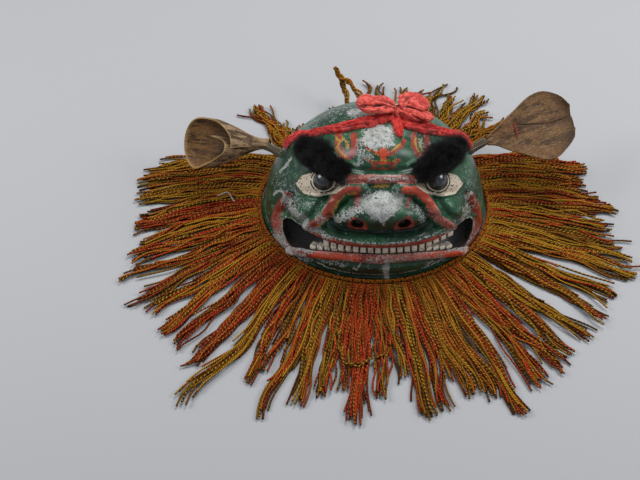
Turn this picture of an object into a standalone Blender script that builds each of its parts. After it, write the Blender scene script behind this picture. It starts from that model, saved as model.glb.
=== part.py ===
"""A lion dance head: a carved wooden mask with teeth, fur brows, hide ears, a red cloth bow and a yarn mane.

It lies face up on its rim. Metres, +Z up, chin towards -Y, crown towards +Y, origin under the middle of the whole.
"""

import math
import random

import bmesh
import bpy
import numpy as np
from mathutils import Vector

# The mask
MASK_WIDTH = 0.280
MASK_LENGTH = 0.234
MASK_HEIGHT = 0.156
WALL = 0.008
RELIEF = 0.020
FLANGE_OUT = 0.002
FLANGE_HEIGHT = 0.0075
FLANGE_SLOPE = 0.004
GAP = 0.0004

# The mouth, the eyes and the nostrils
TEETH_DEPTH = 0.010
TEETH_PROUD = 0.004
TOOTH_WIDTH = 0.0088
TOOTH_NOTCH = 0.0012
PUPIL_RADIUS = 0.0105
PUPIL_RISE = 0.0075
PUPIL_SEAT = 0.004
NOSTRIL_WIDTH = 0.0105
NOSTRIL_HEIGHT = 0.0072
NOSTRIL_DEPTH = 0.009

# Fur and cloth
BROW_WIDTH = 0.028
BROW_HEIGHT = 0.013
SASH_WIDTH = 0.015
SASH_THICKNESS = 0.0055
KNOT_RADIUS = 0.0085
LOBE_LENGTH = 0.043
LOBE_WIDTH = 0.025
LOBE_HEIGHT = 0.014
TAIL_LENGTH = 0.026
TAIL_WIDTH = 0.015

# Ears and their ties
HIDE = 0.0025
EAR_LEFT_LENGTH = 0.100
EAR_LEFT_MOUTH = 0.021
EAR_RIGHT_LENGTH = 0.112
EAR_RIGHT_WIDTH = 0.086
TIE_RADIUS = 0.0055
TIE_LENGTH = 0.030

# The mane
HEADING_DEPTH = 0.005
STRAND_LENGTH = 0.190
LOCK_HEIGHT = 0.010
LOCK_PITCH = 0.0145

# Where the face sits on the dome: its plane leans back, so these are the shares of a point's length and height in it
FACE_LENGTH_SHARE = 0.6466
FACE_HEIGHT_SHARE = 0.7102
FACE_REACH = math.hypot(FACE_LENGTH_SHARE, FACE_HEIGHT_SHARE)
FACE_TURN = math.atan2(FACE_HEIGHT_SHARE, FACE_LENGTH_SHARE)
# The carving's middle line lies a little to one side of the dome's
FACE_SHIFT = 0.02
GRID = 40

# Each place below is a share of half the mask's width on the face plane, across and up from its middle.
# bump, across, up, half width, half height, rise as a share of RELIEF
BUMPS = (
    ("forehead", 0.00, 0.465, 0.36, 0.19, 0.50),
    ("eyeball", 0.51, 0.215, 0.22, 0.13, 0.42),
    ("cheek", 0.59, -0.02, 0.19, 0.17, 0.55),
    ("nose", 0.00, -0.03, 0.26, 0.20, 0.95),
    ("nose wing", 0.27, -0.06, 0.15, 0.12, 0.55),
    ("chin", 0.00, -0.51, 0.60, 0.09, 0.20),
)
# ridge, path, half width, rise as a share of RELIEF
RIDGES = (
    ("brow", ((0.22, 0.25), (0.50, 0.41), (0.70, 0.56)), 0.12, 0.30),
    ("bridge", ((0.00, 0.245), (0.25, 0.245)), 0.06, 0.30),
    ("nasal band", ((0.15, 0.172), (0.29, 0.162), (0.395, 0.065), (0.46, -0.06), (0.58, -0.14)), 0.07, 0.50),
    ("upper lip", ((0.00, -0.225), (0.15, -0.220), (0.30, -0.205), (0.42, -0.180), (0.56, -0.118)), 0.055, 0.45),
    ("lower lip", ((0.00, -0.430), (0.28, -0.412), (0.47, -0.398), (0.62, -0.385), (0.76, -0.375)), 0.05, 0.38),
)
# The mouth's outline: across, lower edge, upper edge
MOUTH = (
    (0.000, -0.392, -0.272),
    (0.150, -0.388, -0.266),
    (0.300, -0.374, -0.252),
    (0.420, -0.362, -0.230),
    (0.560, -0.345, -0.170),
    (0.660, -0.338, -0.140),
    (0.760, -0.330, -0.095),
    (0.810, -0.285, -0.085),
    (0.840, -0.200, -0.110),
)
UPPER_TEETH = (-0.44, 0.58)
LOWER_TEETH = (-0.56, 0.60)
EYE = (0.4625, 0.244)
NOSTRIL = (0.19, -0.107)
BROW = ((0.27, 0.262), (0.39, 0.335), (0.515, 0.421), (0.64, 0.515))
# Each sash half's route over the crown, from the knot out
SASH_LEFT = ((0.10, 0.775), (-0.12, 0.74), (-0.30, 0.70), (-0.44, 0.675), (-0.56, 0.645), (-0.68, 0.595), (-0.79, 0.515))
SASH_RIGHT = ((0.15, 0.76), (0.29, 0.70), (0.41, 0.68), (0.53, 0.655), (0.65, 0.61), (0.74, 0.555), (0.80, 0.49))
KNOT = (0.13, 0.79)
# How long the mane's locks are round the rim: degrees from the right ear, share of STRAND_LENGTH
MANE_REACH = (
    (-180, 0.90), (-160, 1.02), (-140, 1.02), (-125, 1.20), (-110, 1.05), (-90, 0.98), (-60, 1.10), (-30, 1.00),
    (0, 0.88), (20, 0.75), (40, 0.55), (60, 0.42), (90, 0.42), (120, 0.44), (140, 0.55), (160, 0.80), (180, 0.90),
)
# part, first and last degree, pitch of its locks as a share of LOCK_PITCH
MANE_PARTS = (
    ("fringe_left", 142, 214, 1.0),
    ("fringe_chin", 216, 324, 1.0),
    ("fringe_right", 326, 398, 1.0),
    ("fringe_crown", 40, 140, 1.8),
)


def material(name, colour, roughness, metallic=0.0):
    """A plain finish for one sub-part."""
    made = bpy.data.materials.new(name)
    made.use_nodes = True
    shader = made.node_tree.nodes["Principled BSDF"]
    shader.inputs["Base Color"].default_value = (*colour, 1)
    shader.inputs["Roughness"].default_value = roughness
    shader.inputs["Metallic"].default_value = metallic
    return made


def add(name, points, faces, finish):
    """A closed mesh object with its faces pointing out."""
    mesh = bpy.data.meshes.new(name)
    mesh.from_pydata([tuple(p) for p in points], [], faces)
    work = bmesh.new()
    work.from_mesh(mesh)
    bmesh.ops.recalc_face_normals(work, faces=work.faces)
    bmesh.ops.triangulate(work, faces=work.faces)
    work.to_mesh(mesh)
    work.free()
    mesh.materials.append(finish)
    made = bpy.data.objects.new(name, mesh)
    bpy.context.collection.objects.link(made)
    made.parent = HEAD
    return made


def loft(name, rings, finish):
    """A closed solid through rings of points that all have the same count."""
    count = len(rings[0])
    points = [p for ring in rings for p in ring]
    faces = []
    for i in range(len(rings) - 1):
        for j in range(count):
            k = (j + 1) % count
            a, b = i * count, (i + 1) * count
            faces.append((a + j, a + k, b + k, b + j))
    faces.append(tuple(range(count)))
    faces.append(tuple((len(rings) - 1) * count + j for j in range(count)))
    return add(name, points, faces, finish)


def as_cutter(tool):
    """Keeps an object out of the model: it only cuts."""
    tool.hide_render = True
    tool.display_type = "WIRE"
    return tool


def cut(piece, tool):
    """Cuts a tool's form out of a piece."""
    modifier = piece.modifiers.new("cut_" + tool.name, "BOOLEAN")
    modifier.operation = "DIFFERENCE"
    modifier.solver = "EXACT"
    modifier.object = tool


def smooth_step(low, high, value):
    t = np.clip((value - low) / (high - low), 0, 1)
    return t * t * (3 - 2 * t)


def path_distance(p, q, path):
    """How far each point of the face plane is from a path on it."""
    best = np.full(np.shape(p), 9.0)
    for (ax, ay), (bx, by) in zip(path, path[1:]):
        dx, dy = bx - ax, by - ay
        t = np.clip(((p - ax) * dx + (q - ay) * dy) / (dx * dx + dy * dy), 0, 1)
        best = np.minimum(best, np.hypot(p - ax - t * dx, q - ay - t * dy))
    return best


def relief(nx, ny, nz):
    """How far the carving stands proud of the plain dome, in metres."""
    p, q = np.abs(nx - FACE_SHIFT), FACE_LENGTH_SHARE * ny + FACE_HEIGHT_SHARE * nz
    front = smooth_step(0.0, 0.2, -ny * FACE_HEIGHT_SHARE + nz * FACE_LENGTH_SHARE)
    total = np.zeros(np.shape(nx))
    for _, across, up, half_width, half_height, rise in BUMPS:
        away = ((p - across) / half_width) ** 2 + ((q - up) / half_height) ** 2
        total = total + rise * np.clip(1 - away, 0, 1) ** 1.5
    ridges = np.zeros(np.shape(nx))
    for _, path, half_width, rise in RIDGES:
        away = path_distance(p, q, path) / half_width
        ridges = np.maximum(ridges, rise * np.clip(1 - away * away, 0, 1))
    above_flange = smooth_step(FLANGE_HEIGHT, FLANGE_HEIGHT + FLANGE_SLOPE, nz * MASK_HEIGHT)
    return (total + ridges) * RELIEF * front * above_flange + FLANGE_OUT * (1 - above_flange)


def dome_points(nx, ny, nz, lift):
    """Points on the dome's unit directions, lifted along its normal."""
    half = (MASK_WIDTH / 2, MASK_LENGTH / 2, MASK_HEIGHT)
    normal = np.stack([nx / half[0], ny / half[1], nz / half[2]], -1)
    normal /= np.linalg.norm(normal, axis=-1, keepdims=True)
    return np.stack([nx * half[0], ny * half[1], nz * half[2]], -1) + normal * np.asarray(lift)[..., None]


def direction(across, up):
    """The dome's unit direction under a place on the face plane."""
    across += FACE_SHIFT
    reach = math.sqrt(max(1 - across * across, 1e-6))
    turn = FACE_TURN + math.acos(max(-1.0, min(1.0, up / (reach * FACE_REACH))))
    return across, reach * math.cos(turn), reach * math.sin(turn)


def on_dome(across, up, lift):
    """A point over the plain dome."""
    return Vector(dome_points(*(np.array(v) for v in direction(across, up)), np.array(lift)).tolist())


def on_carving(across, up, lift):
    """A point over the carved surface."""
    return on_dome(across, up, lift + float(relief(*(np.array(v) for v in direction(across, up)))))


def disc_grid(count):
    """A square grid of (count + 1) squared unit directions over the dome, closer together on the face."""
    s, t = np.meshgrid(np.linspace(-1, 1, count + 1), np.linspace(-1, 1, count + 1))
    side = np.abs(s) > np.abs(t)
    radius = np.where(side, s, t)
    with np.errstate(divide="ignore", invalid="ignore"):
        turn = np.where(side, math.pi / 4 * t / s, math.pi / 2 - math.pi / 4 * s / t)
    turn = np.nan_to_num(turn)
    x, y = radius * np.cos(turn), radius * np.sin(turn)
    y = y - 0.28 * (1 - x * x - y * y)
    radius = np.hypot(x, y)
    turn = np.arctan2(y, x)
    polar = np.clip(radius, 0, 1) * math.pi / 2
    return np.sin(polar) * np.cos(turn), np.sin(polar) * np.sin(turn), np.cos(polar)


def rim_of(count):
    """The grid's border, once round."""
    n = count + 1
    low = list(range(count))
    right = [count + i * n for i in range(count)]
    high = [n * n - 1 - i for i in range(count)]
    left = [(n - 1) * n - i * n for i in range(count)]
    return low + right + high + left


def shell(name, grow, finish):
    """The mask's wall: a carved outside, a plain inside of half as many faces, and a flat rim between them."""
    points, faces = [], []
    for count, outer in ((GRID, True), (GRID // 2, False)):
        nx, ny, nz = (v.ravel() for v in disc_grid(count))
        nz = np.where(nz < 1e-9, 0, nz)
        lift = relief(nx, ny, nz) + grow if outer else np.full(nx.shape, -WALL)
        base, n = len(points), count + 1
        points += dome_points(nx, ny, nz, lift).tolist()
        for i in range(count):
            for j in range(count):
                a = base + i * n + j
                faces.append((a, a + 1, a + n + 1, a + n) if outer else (a, a + n, a + n + 1, a + 1))
    outside = rim_of(GRID)
    start = (GRID + 1) ** 2
    inside = [start + i for i in rim_of(GRID // 2)]
    for i, here in enumerate(inside):
        after = inside[(i + 1) % len(inside)]
        a, b, c = (outside[(2 * i + k) % len(outside)] for k in range(3))
        faces += [(a, here, b), (b, here, after), (b, after, c)]
    return add(name, points, faces, finish)


def mouth_edges(across):
    """The mouth's lower and upper edge at a place across."""
    stations, low, high = zip(*MOUTH)
    return float(np.interp(abs(across), stations, low)), float(np.interp(abs(across), stations, high))


def frame_at(across, up):
    """Right, up and out on the carved surface at a place of the face plane."""
    here = on_carving(across, up, 0)
    out = (on_dome(across, up, 0.01) - on_dome(across, up, 0)).normalized()
    right = (on_dome(across + 0.01, up, 0) - on_dome(across, up, 0)).normalized()
    right = (right - out * right.dot(out)).normalized()
    return here, right, out.cross(right), out


def disc_rings(place, right, up, out, shape):
    """Rings round an axis: shape rows are half width, half height, distance out."""
    sides = 14
    rings = []
    for half_width, half_height, distance in shape:
        turns = [2 * math.pi * k / sides for k in range(sides)]
        rings.append([
            place + right * half_width * math.cos(t) + up * half_height * math.sin(t) + out * distance for t in turns
        ])
    return rings


def mouth_cutter():
    end = MOUTH[-1][0]
    rings = []
    for across in np.linspace(-end, end, 41):
        low, high = mouth_edges(across)
        rings.append([
            on_dome(across, low, RELIEF + WALL),
            on_dome(across, high, RELIEF + WALL),
            on_dome(across, high, -2 * WALL),
            on_dome(across, low, -2 * WALL),
        ])
    return as_cutter(loft("mouth_opening", rings, WOOD))


def teeth(name, span, upper):
    """A row of teeth on one bar, seated on the mouth's edge."""
    half = MASK_WIDTH / 2
    count = round((span[1] - span[0]) * half / TOOTH_WIDTH)
    rings = []
    for i in range(2 * count + 1):
        across = span[0] + (span[1] - span[0]) * i / (2 * count)
        low, high = mouth_edges(across)
        middle = (low + high) / 2
        gap = 1.5 * GAP / half
        low, high = (middle + gap, high - gap) if upper else (low + gap, middle - gap)
        front = TEETH_PROUD - (TOOTH_NOTCH if i % 2 == 0 else 0)
        rings.append([
            on_dome(across, low, front),
            on_dome(across, high, front),
            on_dome(across, high, front - TEETH_DEPTH),
            on_dome(across, low, front - TEETH_DEPTH),
        ])
    return loft(name, rings, IVORY)


def pupil(name, side):
    place, right, up, out = frame_at(side * EYE[0], EYE[1])
    floor = GAP - PUPIL_SEAT
    shape = [(PUPIL_RADIUS, PUPIL_RADIUS, floor), (PUPIL_RADIUS, PUPIL_RADIUS, PUPIL_RISE * 0.25)]
    for share in (0.45, 0.8):
        radius = PUPIL_RADIUS * math.cos(share * math.pi / 2)
        shape.append((radius, radius, PUPIL_RISE * (0.25 + 0.75 * math.sin(share * math.pi / 2))))
    radius = PUPIL_RADIUS * 0.08
    shape.append((radius, radius, PUPIL_RISE))
    return loft(name, disc_rings(place, right, up, out, shape), GLOSS)


def pupil_pocket(name, side):
    place, right, up, out = frame_at(side * EYE[0], EYE[1])
    radius = PUPIL_RADIUS + GAP
    shape = [(radius, radius, -PUPIL_SEAT), (radius, radius, RELIEF)]
    return as_cutter(loft(name, disc_rings(place, right, up, out, shape), WOOD))


def nostril(name, side):
    place, right, up, out = frame_at(side * NOSTRIL[0], NOSTRIL[1])
    out = (out - up * 0.35).normalized()
    wide, high = NOSTRIL_WIDTH / 2, NOSTRIL_HEIGHT / 2
    shape = [(wide * 0.7, high * 0.7, -NOSTRIL_DEPTH), (wide, high, 0), (wide * 1.6, high * 1.6, NOSTRIL_DEPTH)]
    return as_cutter(loft(name, disc_rings(place, right, up, out, shape), WOOD))


def route(path, count, lift):
    """Evenly spaced frames along a path on the carving: place, along, side and out."""
    line = [on_carving(a, u, lift) for a, u in path]
    run = np.concatenate([[0], np.cumsum([(b - a).length for a, b in zip(line, line[1:])])])
    frames = []
    for i in range(count):
        at = run[-1] * i / (count - 1)
        across = float(np.interp(at, run, [a for a, _ in path]))
        up = float(np.interp(at, run, [u for _, u in path]))
        place, _, _, out = frame_at(across, up)
        frames.append((place + out * lift, out))
    made = []
    for i, (place, out) in enumerate(frames):
        along = frames[min(i + 1, count - 1)][0] - frames[max(i - 1, 0)][0]
        along = (along - out * along.dot(out)).normalized()
        made.append((place, along, out.cross(along), out))
    return made


def brow(name, side):
    """A strip of fur in locks on its own backing, cut to the carving under it."""
    path = [(side * a, u) for a, u in BROW]
    stations = 15
    rings = []
    for i, (place, along, across, out) in enumerate(route(path, stations, 0)):
        t = i / (stations - 1)
        full = math.sin(math.pi * (0.12 + 0.76 * t)) ** 0.5
        lock = 1.0 if i % 2 else 0.78
        half = BROW_WIDTH / 2 * full * lock
        rise = BROW_HEIGHT * full * (0.8 if i % 2 else 1.0)
        rings.append([
            place - across * half - out * WALL / 2,
            place - across * half + out * rise * 0.25,
            place - across * half * 0.45 + out * rise * 0.9,
            place + across * half * 0.45 + out * rise,
            place + across * half + out * rise * 0.25,
            place + across * half - out * WALL / 2,
        ])
    return loft(name, rings, FUR)


def sash_rings(path, stations, grow):
    """A bunched strip of cloth: two soft ridges with a dip between, wider and narrower along its way."""
    rings = []
    for i, (place, along, across, out) in enumerate(route(path, stations, 0)):
        half = SASH_WIDTH / 2 * (1 + 0.16 * math.sin(2.3 * i)) + grow
        rise = SASH_THICKNESS + grow
        rings.append([
            place - across * half - out * WALL / 2,
            place - across * half + out * rise * 0.5,
            place - across * half * 0.55 + out * rise * (1 + 0.15 * math.cos(1.7 * i)),
            place + out * rise * 0.8,
            place + across * half * 0.55 + out * rise * (1 + 0.15 * math.sin(1.9 * i)),
            place + across * half + out * rise * 0.5,
            place + across * half - out * WALL / 2,
        ])
    return rings


def knot_rings(grow):
    place, right, up, out = frame_at(*KNOT)
    radius = KNOT_RADIUS
    shape = []
    for k in range(7):
        turn = math.pi * (0.08 + 0.84 * k / 6)
        around = radius * math.sin(turn) + grow
        shape.append((around, around * 1.15, SASH_THICKNESS - radius * 0.9 * math.cos(turn)))
    return disc_rings(place, right, up, out, shape)


def lobe(name, heading, rise):
    """A puffed loop of the bow, from the knot out along a heading on the face plane."""
    place, right, up, out = frame_at(*KNOT)
    along = (right * math.cos(heading) + up * math.sin(heading) + out * rise).normalized()
    side = out.cross(along).normalized()
    over = along.cross(side)
    rings = []
    for i in range(9):
        t = i / 8
        swell = math.sin(math.pi * (0.16 + 0.76 * t)) ** 0.8
        middle = place + out * (SASH_THICKNESS + LOBE_HEIGHT * 0.35) + along * (KNOT_RADIUS * 0.6 + LOBE_LENGTH * t)
        ring = []
        for k in range(12):
            turn = 2 * math.pi * k / 12
            fold = 1 + 0.13 * math.cos(5 * turn + 1.1 * i)
            ring.append(
                middle
                + side * LOBE_WIDTH / 2 * swell * fold * math.cos(turn)
                + over * LOBE_HEIGHT / 2 * swell * fold * math.sin(turn)
            )
        rings.append(ring)
    return loft(name, rings, CLOTH)


def tail(name):
    """The cloth's free end, which hangs from the knot onto the forehead."""
    step = TAIL_LENGTH / (MASK_WIDTH / 2)
    path = [(KNOT[0] + 0.03 * t, KNOT[1] - (0.02 + step * t)) for t in (0.0, 0.5, 1.0)]
    rings = []
    for i, (place, along, across, out) in enumerate(route(path, 6, 0)):
        half = TAIL_WIDTH / 2 * (1 - 0.75 * (i / 5) ** 2)
        rise = SASH_THICKNESS * (1 - 0.3 * i / 5)
        rings.append([
            place - across * half - out * WALL / 2,
            place - across * half + out * rise * 0.6,
            place + out * rise,
            place + across * half + out * rise * 0.6,
            place + across * half - out * WALL / 2,
        ])
    return loft(name, rings, CLOTH)


def ear_frame(side):
    """Where an ear is tied: the tie's foot in the wall, and the ear's length, width and face directions."""
    foot = on_dome(side * 0.84 - FACE_SHIFT, 0.485, -WALL / 2)
    along = Vector((side * 0.93, 0.33, -0.20)).normalized()
    across = Vector((0, 0, 1)).cross(along).normalized() * side
    return foot, along, across, along.cross(across) * side


def tie(name, side):
    """A short bundle of cords from the mask's side to the ear's root."""
    foot, along, across, face = ear_frame(side)
    rings = []
    for i in range(5):
        middle = foot + along * TIE_LENGTH * i / 4
        radius = TIE_RADIUS * (1 - 0.08 * math.sin(math.pi * i / 4))
        rings.append([
            middle + across * radius * math.cos(2 * math.pi * k / 8) + face * radius * math.sin(2 * math.pi * k / 8)
            for k in range(8)
        ])
    return loft(name, rings, CORD)


def sheet_solid(name, grid, thickness, finish):
    """A closed wall of even thickness on one side of a grid of points."""
    rows, columns = len(grid), len(grid[0])
    inner = []
    for i in range(rows):
        for j in range(columns):
            du = grid[min(i + 1, rows - 1)][j] - grid[max(i - 1, 0)][j]
            dv = grid[i][min(j + 1, columns - 1)] - grid[i][max(j - 1, 0)]
            inner.append(grid[i][j] - du.cross(dv).normalized() * thickness)
    points = [p for row in grid for p in row] + inner
    size = rows * columns
    faces = []
    for i in range(rows - 1):
        for j in range(columns - 1):
            a = i * columns + j
            faces.append((a, a + 1, a + columns + 1, a + columns))
            faces.append((size + a, size + a + columns, size + a + columns + 1, size + a + 1))
    border = [j for j in range(columns)] + [i * columns + columns - 1 for i in range(1, rows)]
    border += [(rows - 1) * columns + j for j in range(columns - 2, -1, -1)]
    border += [i * columns for i in range(rows - 2, 0, -1)]
    for a, b in zip(border, border[1:] + border[:1]):
        faces.append((a, b, size + b, size + a))
    return add(name, points, faces, finish)


def ear_left():
    """Hide rolled into a cup round the tie's end, its mouth outwards."""
    foot, along, across, face = ear_frame(-1)
    root = foot + along * (TIE_LENGTH - 0.008)
    inner = TIE_RADIUS * 1.03 + GAP
    grid = []
    for i in range(8):
        t = i / 7
        radius = inner + (EAR_LEFT_MOUTH - inner) * smooth_step(0.0, 1.0, t) ** 0.8 + HIDE
        row = []
        for k in range(12):
            turn = math.radians(-158 + 316 * k / 11)
            reach = EAR_LEFT_LENGTH * t * (1 - 0.22 * (1 - math.cos(turn)) / 2 * t)
            drop = 0.010 * t * t
            row.append(
                root + along * reach - face * drop
                + across * radius * math.sin(turn) + face * radius * (0.15 * t - 1) * math.cos(turn)
            )
        grid.append(row)
    return sheet_solid("ear_left", grid, HIDE, HIDE_FINISH)


def ear_right():
    """Hide cut like a leaf and a little cupped, tied at its narrow end."""
    foot, along, across, face = ear_frame(1)
    root = foot + along * (TIE_LENGTH + 2 * GAP)
    lean = (across + face * 0.55).normalized()
    normal = along.cross(lean).normalized()
    outline = ((0.0, 0.16), (0.12, 0.30), (0.30, 0.66), (0.50, 0.94), (0.68, 1.0), (0.85, 0.82), (0.96, 0.48), (1.0, 0.24))
    stations, shares = zip(*outline)
    grid = []
    for i in range(10):
        t = i / 9
        half = EAR_RIGHT_WIDTH / 2 * float(np.interp(t, stations, shares))
        row = []
        for k in range(7):
            v = -1 + 2 * k / 6
            cup = 0.16 * half * v * v + 0.006 * math.sin(2.2 * math.pi * t) * v
            row.append(root + along * EAR_RIGHT_LENGTH * t + lean * half * v + normal * cup)
        grid.append(row)
    return sheet_solid("ear_right", grid, HIDE, HIDE_FINISH)


def rim_point(turn, out):
    """A point outside the rim's flange, a distance out along the rim's normal."""
    a, b = MASK_WIDTH / 2, MASK_LENGTH / 2
    normal = Vector((math.cos(turn) / a, math.sin(turn) / b, 0)).normalized()
    return Vector((a * math.cos(turn), b * math.sin(turn), 0)) + normal * (FLANGE_OUT + GAP + out), normal


def fringe(name, start, end, pitch):
    """A stitched heading round part of the rim, with a row of yarn locks that lie on the ground, all one body."""
    chance = random.Random(int(start))
    begin, finish = math.radians(start), math.radians(end)
    # the heading is straight between its locks, so it stands off by the rim's bulge between them
    slack = (LOCK_PITCH * pitch) ** 2 / (4 * MASK_LENGTH)
    rim = [rim_point(begin + (finish - begin) * k / 40, 0)[0] for k in range(41)]
    run = sum((b - a).length for a, b in zip(rim, rim[1:]))
    locks = max(4, round(run / (LOCK_PITCH * pitch)))
    turns, degrees = [], []
    for i in range(locks):
        for share in (0.04, 0.96):
            turns.append(begin + (finish - begin) * (i + share) / locks)
            degrees.append(math.degrees(turns[-1]))
    points, faces = [], []
    for turn in turns:
        inner, _ = rim_point(turn, slack)
        outer, _ = rim_point(turn, HEADING_DEPTH)
        up = Vector((0, 0, FLANGE_HEIGHT - GAP))
        points += [inner, inner + up, outer + up, outer]
    for i in range(len(turns) - 1):
        a, b = 4 * i, 4 * (i + 1)
        sides = [(0, 1), (1, 2), (3, 0)] + ([(2, 3)] if i % 2 else [])
        faces += [(a + j, a + k, b + k, b + j) for j, k in sides]
    last = 4 * (len(turns) - 1)
    faces += [(0, 1, 2, 3), (last, last + 3, last + 2, last + 1)]
    angles, shares = zip(*MANE_REACH)
    for i in range(locks):
        a, b = 8 * i, 8 * i + 4
        middle = (turns[2 * i] + turns[2 * i + 1]) / 2
        angle = (math.degrees(middle) + 180) % 360 - 180
        length = STRAND_LENGTH * float(np.interp(angle, angles, shares)) * chance.uniform(0.86, 1.08)
        root, normal = rim_point(middle, HEADING_DEPTH)
        side = Vector((-normal.y, normal.x, 0))
        sway = chance.uniform(-0.035, 0.035)
        ring = [a + 3, a + 2, b + 2, b + 3]
        spread = (points[b] - points[a]).length
        for share, wide, high in ((0.30, 1.22, 1.0), (0.65, 1.15, 0.75), (0.90, 0.80, 0.5), (1.0, 0.35, 0.3)):
            place = root + normal * length * share + side * length * sway * share * share
            half = spread * wide * (0.5 + 0.25 * share * length / STRAND_LENGTH)
            top = Vector((0, 0, LOCK_HEIGHT * high))
            base = len(points)
            points += [
                place - side * half, place - side * half * 0.5 + top, place + side * half * 0.5 + top, place + side * half
            ]
            new = [base, base + 1, base + 2, base + 3]
            faces += [(ring[k], ring[(k + 1) % 4], new[(k + 1) % 4], new[k]) for k in range(4)]
            ring = new
        faces.append(tuple(ring))
    return add(name, points, faces, YARN)


for old in list(bpy.data.objects):
    bpy.data.objects.remove(old)
HEAD = bpy.data.objects.new("lion_head", None)
bpy.context.collection.objects.link(HEAD)

WOOD = material("lacquered_wood", (0.05, 0.16, 0.09), 0.35)
IVORY = material("tooth_paint", (0.78, 0.72, 0.58), 0.4)
GLOSS = material("eye_lacquer", (0.03, 0.03, 0.035), 0.08)
FUR = material("black_fur", (0.015, 0.015, 0.017), 0.8)
CLOTH = material("red_cloth", (0.62, 0.10, 0.10), 0.85)
HIDE_FINISH = material("hide", (0.28, 0.20, 0.13), 0.6)
CORD = material("tie_cord", (0.35, 0.29, 0.22), 0.85)
YARN = material("mane_yarn", (0.32, 0.20, 0.05), 0.9)

mask = shell("mask_shell", 0, WOOD)
mask_form = as_cutter(shell("mask_form", GAP, WOOD))
cut(mask, mouth_cutter())
pockets = {}
for side, word in ((-1, "left"), (1, "right")):
    pockets[word] = pupil_pocket("pupil_pocket_" + word, side)
    cut(mask, pockets[word])
    cut(mask, nostril("nostril_" + word, side))
teeth("teeth_upper", UPPER_TEETH, True)
teeth("teeth_lower", LOWER_TEETH, False)

knot = loft("bow_knot", knot_rings(0), CLOTH)
cut(knot, mask_form)
knot_form = as_cutter(loft("knot_form", knot_rings(GAP), CLOTH))
sash_forms = {}
for word, path, stations in (("left", SASH_LEFT, 13), ("right", SASH_RIGHT, 11)):
    sash = loft("sash_" + word, sash_rings(path, stations, 0), CLOTH)
    cut(sash, mask_form)
    cut(sash, knot_form)
    sash_forms[word] = as_cutter(loft("sash_form_" + word, sash_rings(path, stations, GAP), CLOTH))
lobes = (lobe("bow_lobe_left", math.radians(155), 0.10), lobe("bow_lobe_right", math.radians(20), 0.05))
for piece in (*lobes, tail("bow_tail")):
    cut(piece, mask_form)
    cut(piece, knot_form)
    for form in sash_forms.values():
        cut(piece, form)

for side, word in ((-1, "left"), (1, "right")):
    pupil("pupil_" + word, side)
    fur = brow("brow_" + word, side)
    cut(fur, mask_form)
    cut(fur, sash_forms[word])
    cut(fur, pockets[word])
    cut(tie("ear_tie_" + word, side), mask_form)
ear_left()
ear_right()
for name, start, end, pitch in MANE_PARTS:
    fringe(name, start, end, pitch)

# The origin goes under the middle of the whole
bpy.context.view_layer.update()
depsgraph = bpy.context.evaluated_depsgraph_get()
corners = [
    piece.evaluated_get(depsgraph).matrix_world @ Vector(corner)
    for piece in bpy.data.objects
    if piece.type == "MESH" and not piece.hide_render
    for corner in piece.evaluated_get(depsgraph).bound_box
]
low = [min(c[k] for c in corners) for k in range(3)]
high = [max(c[k] for c in corners) for k in range(3)]
HEAD.location = (-(low[0] + high[0]) / 2, -(low[1] + high[1]) / 2, -low[2])
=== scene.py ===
"""A lion dance head, lying face up on its rim: the looks of its carved mask, cloth, fur, hide and yarn."""

import math
import random

import bmesh
import bpy
import numpy as np
from mathutils import Matrix, Vector


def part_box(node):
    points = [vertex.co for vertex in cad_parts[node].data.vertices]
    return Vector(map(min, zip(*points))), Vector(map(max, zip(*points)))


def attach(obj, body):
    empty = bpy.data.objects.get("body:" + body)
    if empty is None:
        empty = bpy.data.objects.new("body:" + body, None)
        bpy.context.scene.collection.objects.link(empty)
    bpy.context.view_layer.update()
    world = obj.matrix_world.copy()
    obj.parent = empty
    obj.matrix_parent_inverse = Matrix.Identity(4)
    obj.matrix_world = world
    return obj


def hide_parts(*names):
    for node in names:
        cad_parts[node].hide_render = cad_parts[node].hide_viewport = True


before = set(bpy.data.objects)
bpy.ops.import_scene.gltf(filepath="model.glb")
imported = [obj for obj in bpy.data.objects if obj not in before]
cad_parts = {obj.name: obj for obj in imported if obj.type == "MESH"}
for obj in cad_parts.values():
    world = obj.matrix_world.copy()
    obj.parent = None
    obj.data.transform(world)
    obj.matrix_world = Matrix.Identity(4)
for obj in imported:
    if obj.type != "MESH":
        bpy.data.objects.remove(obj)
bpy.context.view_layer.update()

# Where the head lies
# The mask's rim is on the ground round one middle point, and the whole is seen from the chin's side,
# from about fifty degrees up, between two soft lights.
MASK_WIDTH = 0.280
MASK_LENGTH = 0.234
MASK_HEIGHT = 0.156
FLANGE_OUT = 0.002
low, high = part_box("mask_shell")
MIDDLE = Vector(((low.x + high.x) / 2, high.y - MASK_LENGTH / 2 - FLANGE_OUT, 0))

CAMERA_PLACE = MIDDLE + Vector((-0.0687, -0.9999, 1.2472))
CAMERA_LOOKS_DOWN = math.radians(52.8)
LENS = 70
SENSOR_WIDTH = 36
LIT_PLACE = MIDDLE + Vector((0, 0, 0.06))
# Light: place from the mask's middle, watts, width
LIGHTS = (
    ("left", (-1.25, 0.05, 1.0), 8, 0.6),
    ("right", (1.25, -0.05, 1.05), 7, 0.6),
    ("top", (0.35, 0.75, 1.55), 15, 0.7),
)
SKY = (0.85, 0.88, 0.93, 1)
SKY_STRENGTH = 0.30
FLOOR_GREY = (0.50, 0.505, 0.52, 1)
FLOOR_REACH = 6


def placed(name, data):
    """A new object in the scene that holds some data."""
    made = bpy.data.objects.new(name, data)
    bpy.context.collection.objects.link(made)
    return made


camera = placed("camera", bpy.data.cameras.new("camera"))
camera.data.lens = LENS
camera.data.sensor_width = SENSOR_WIDTH
camera.location = CAMERA_PLACE
camera.rotation_euler = (math.radians(90) - CAMERA_LOOKS_DOWN, 0, 0)
bpy.context.scene.camera = camera

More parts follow.
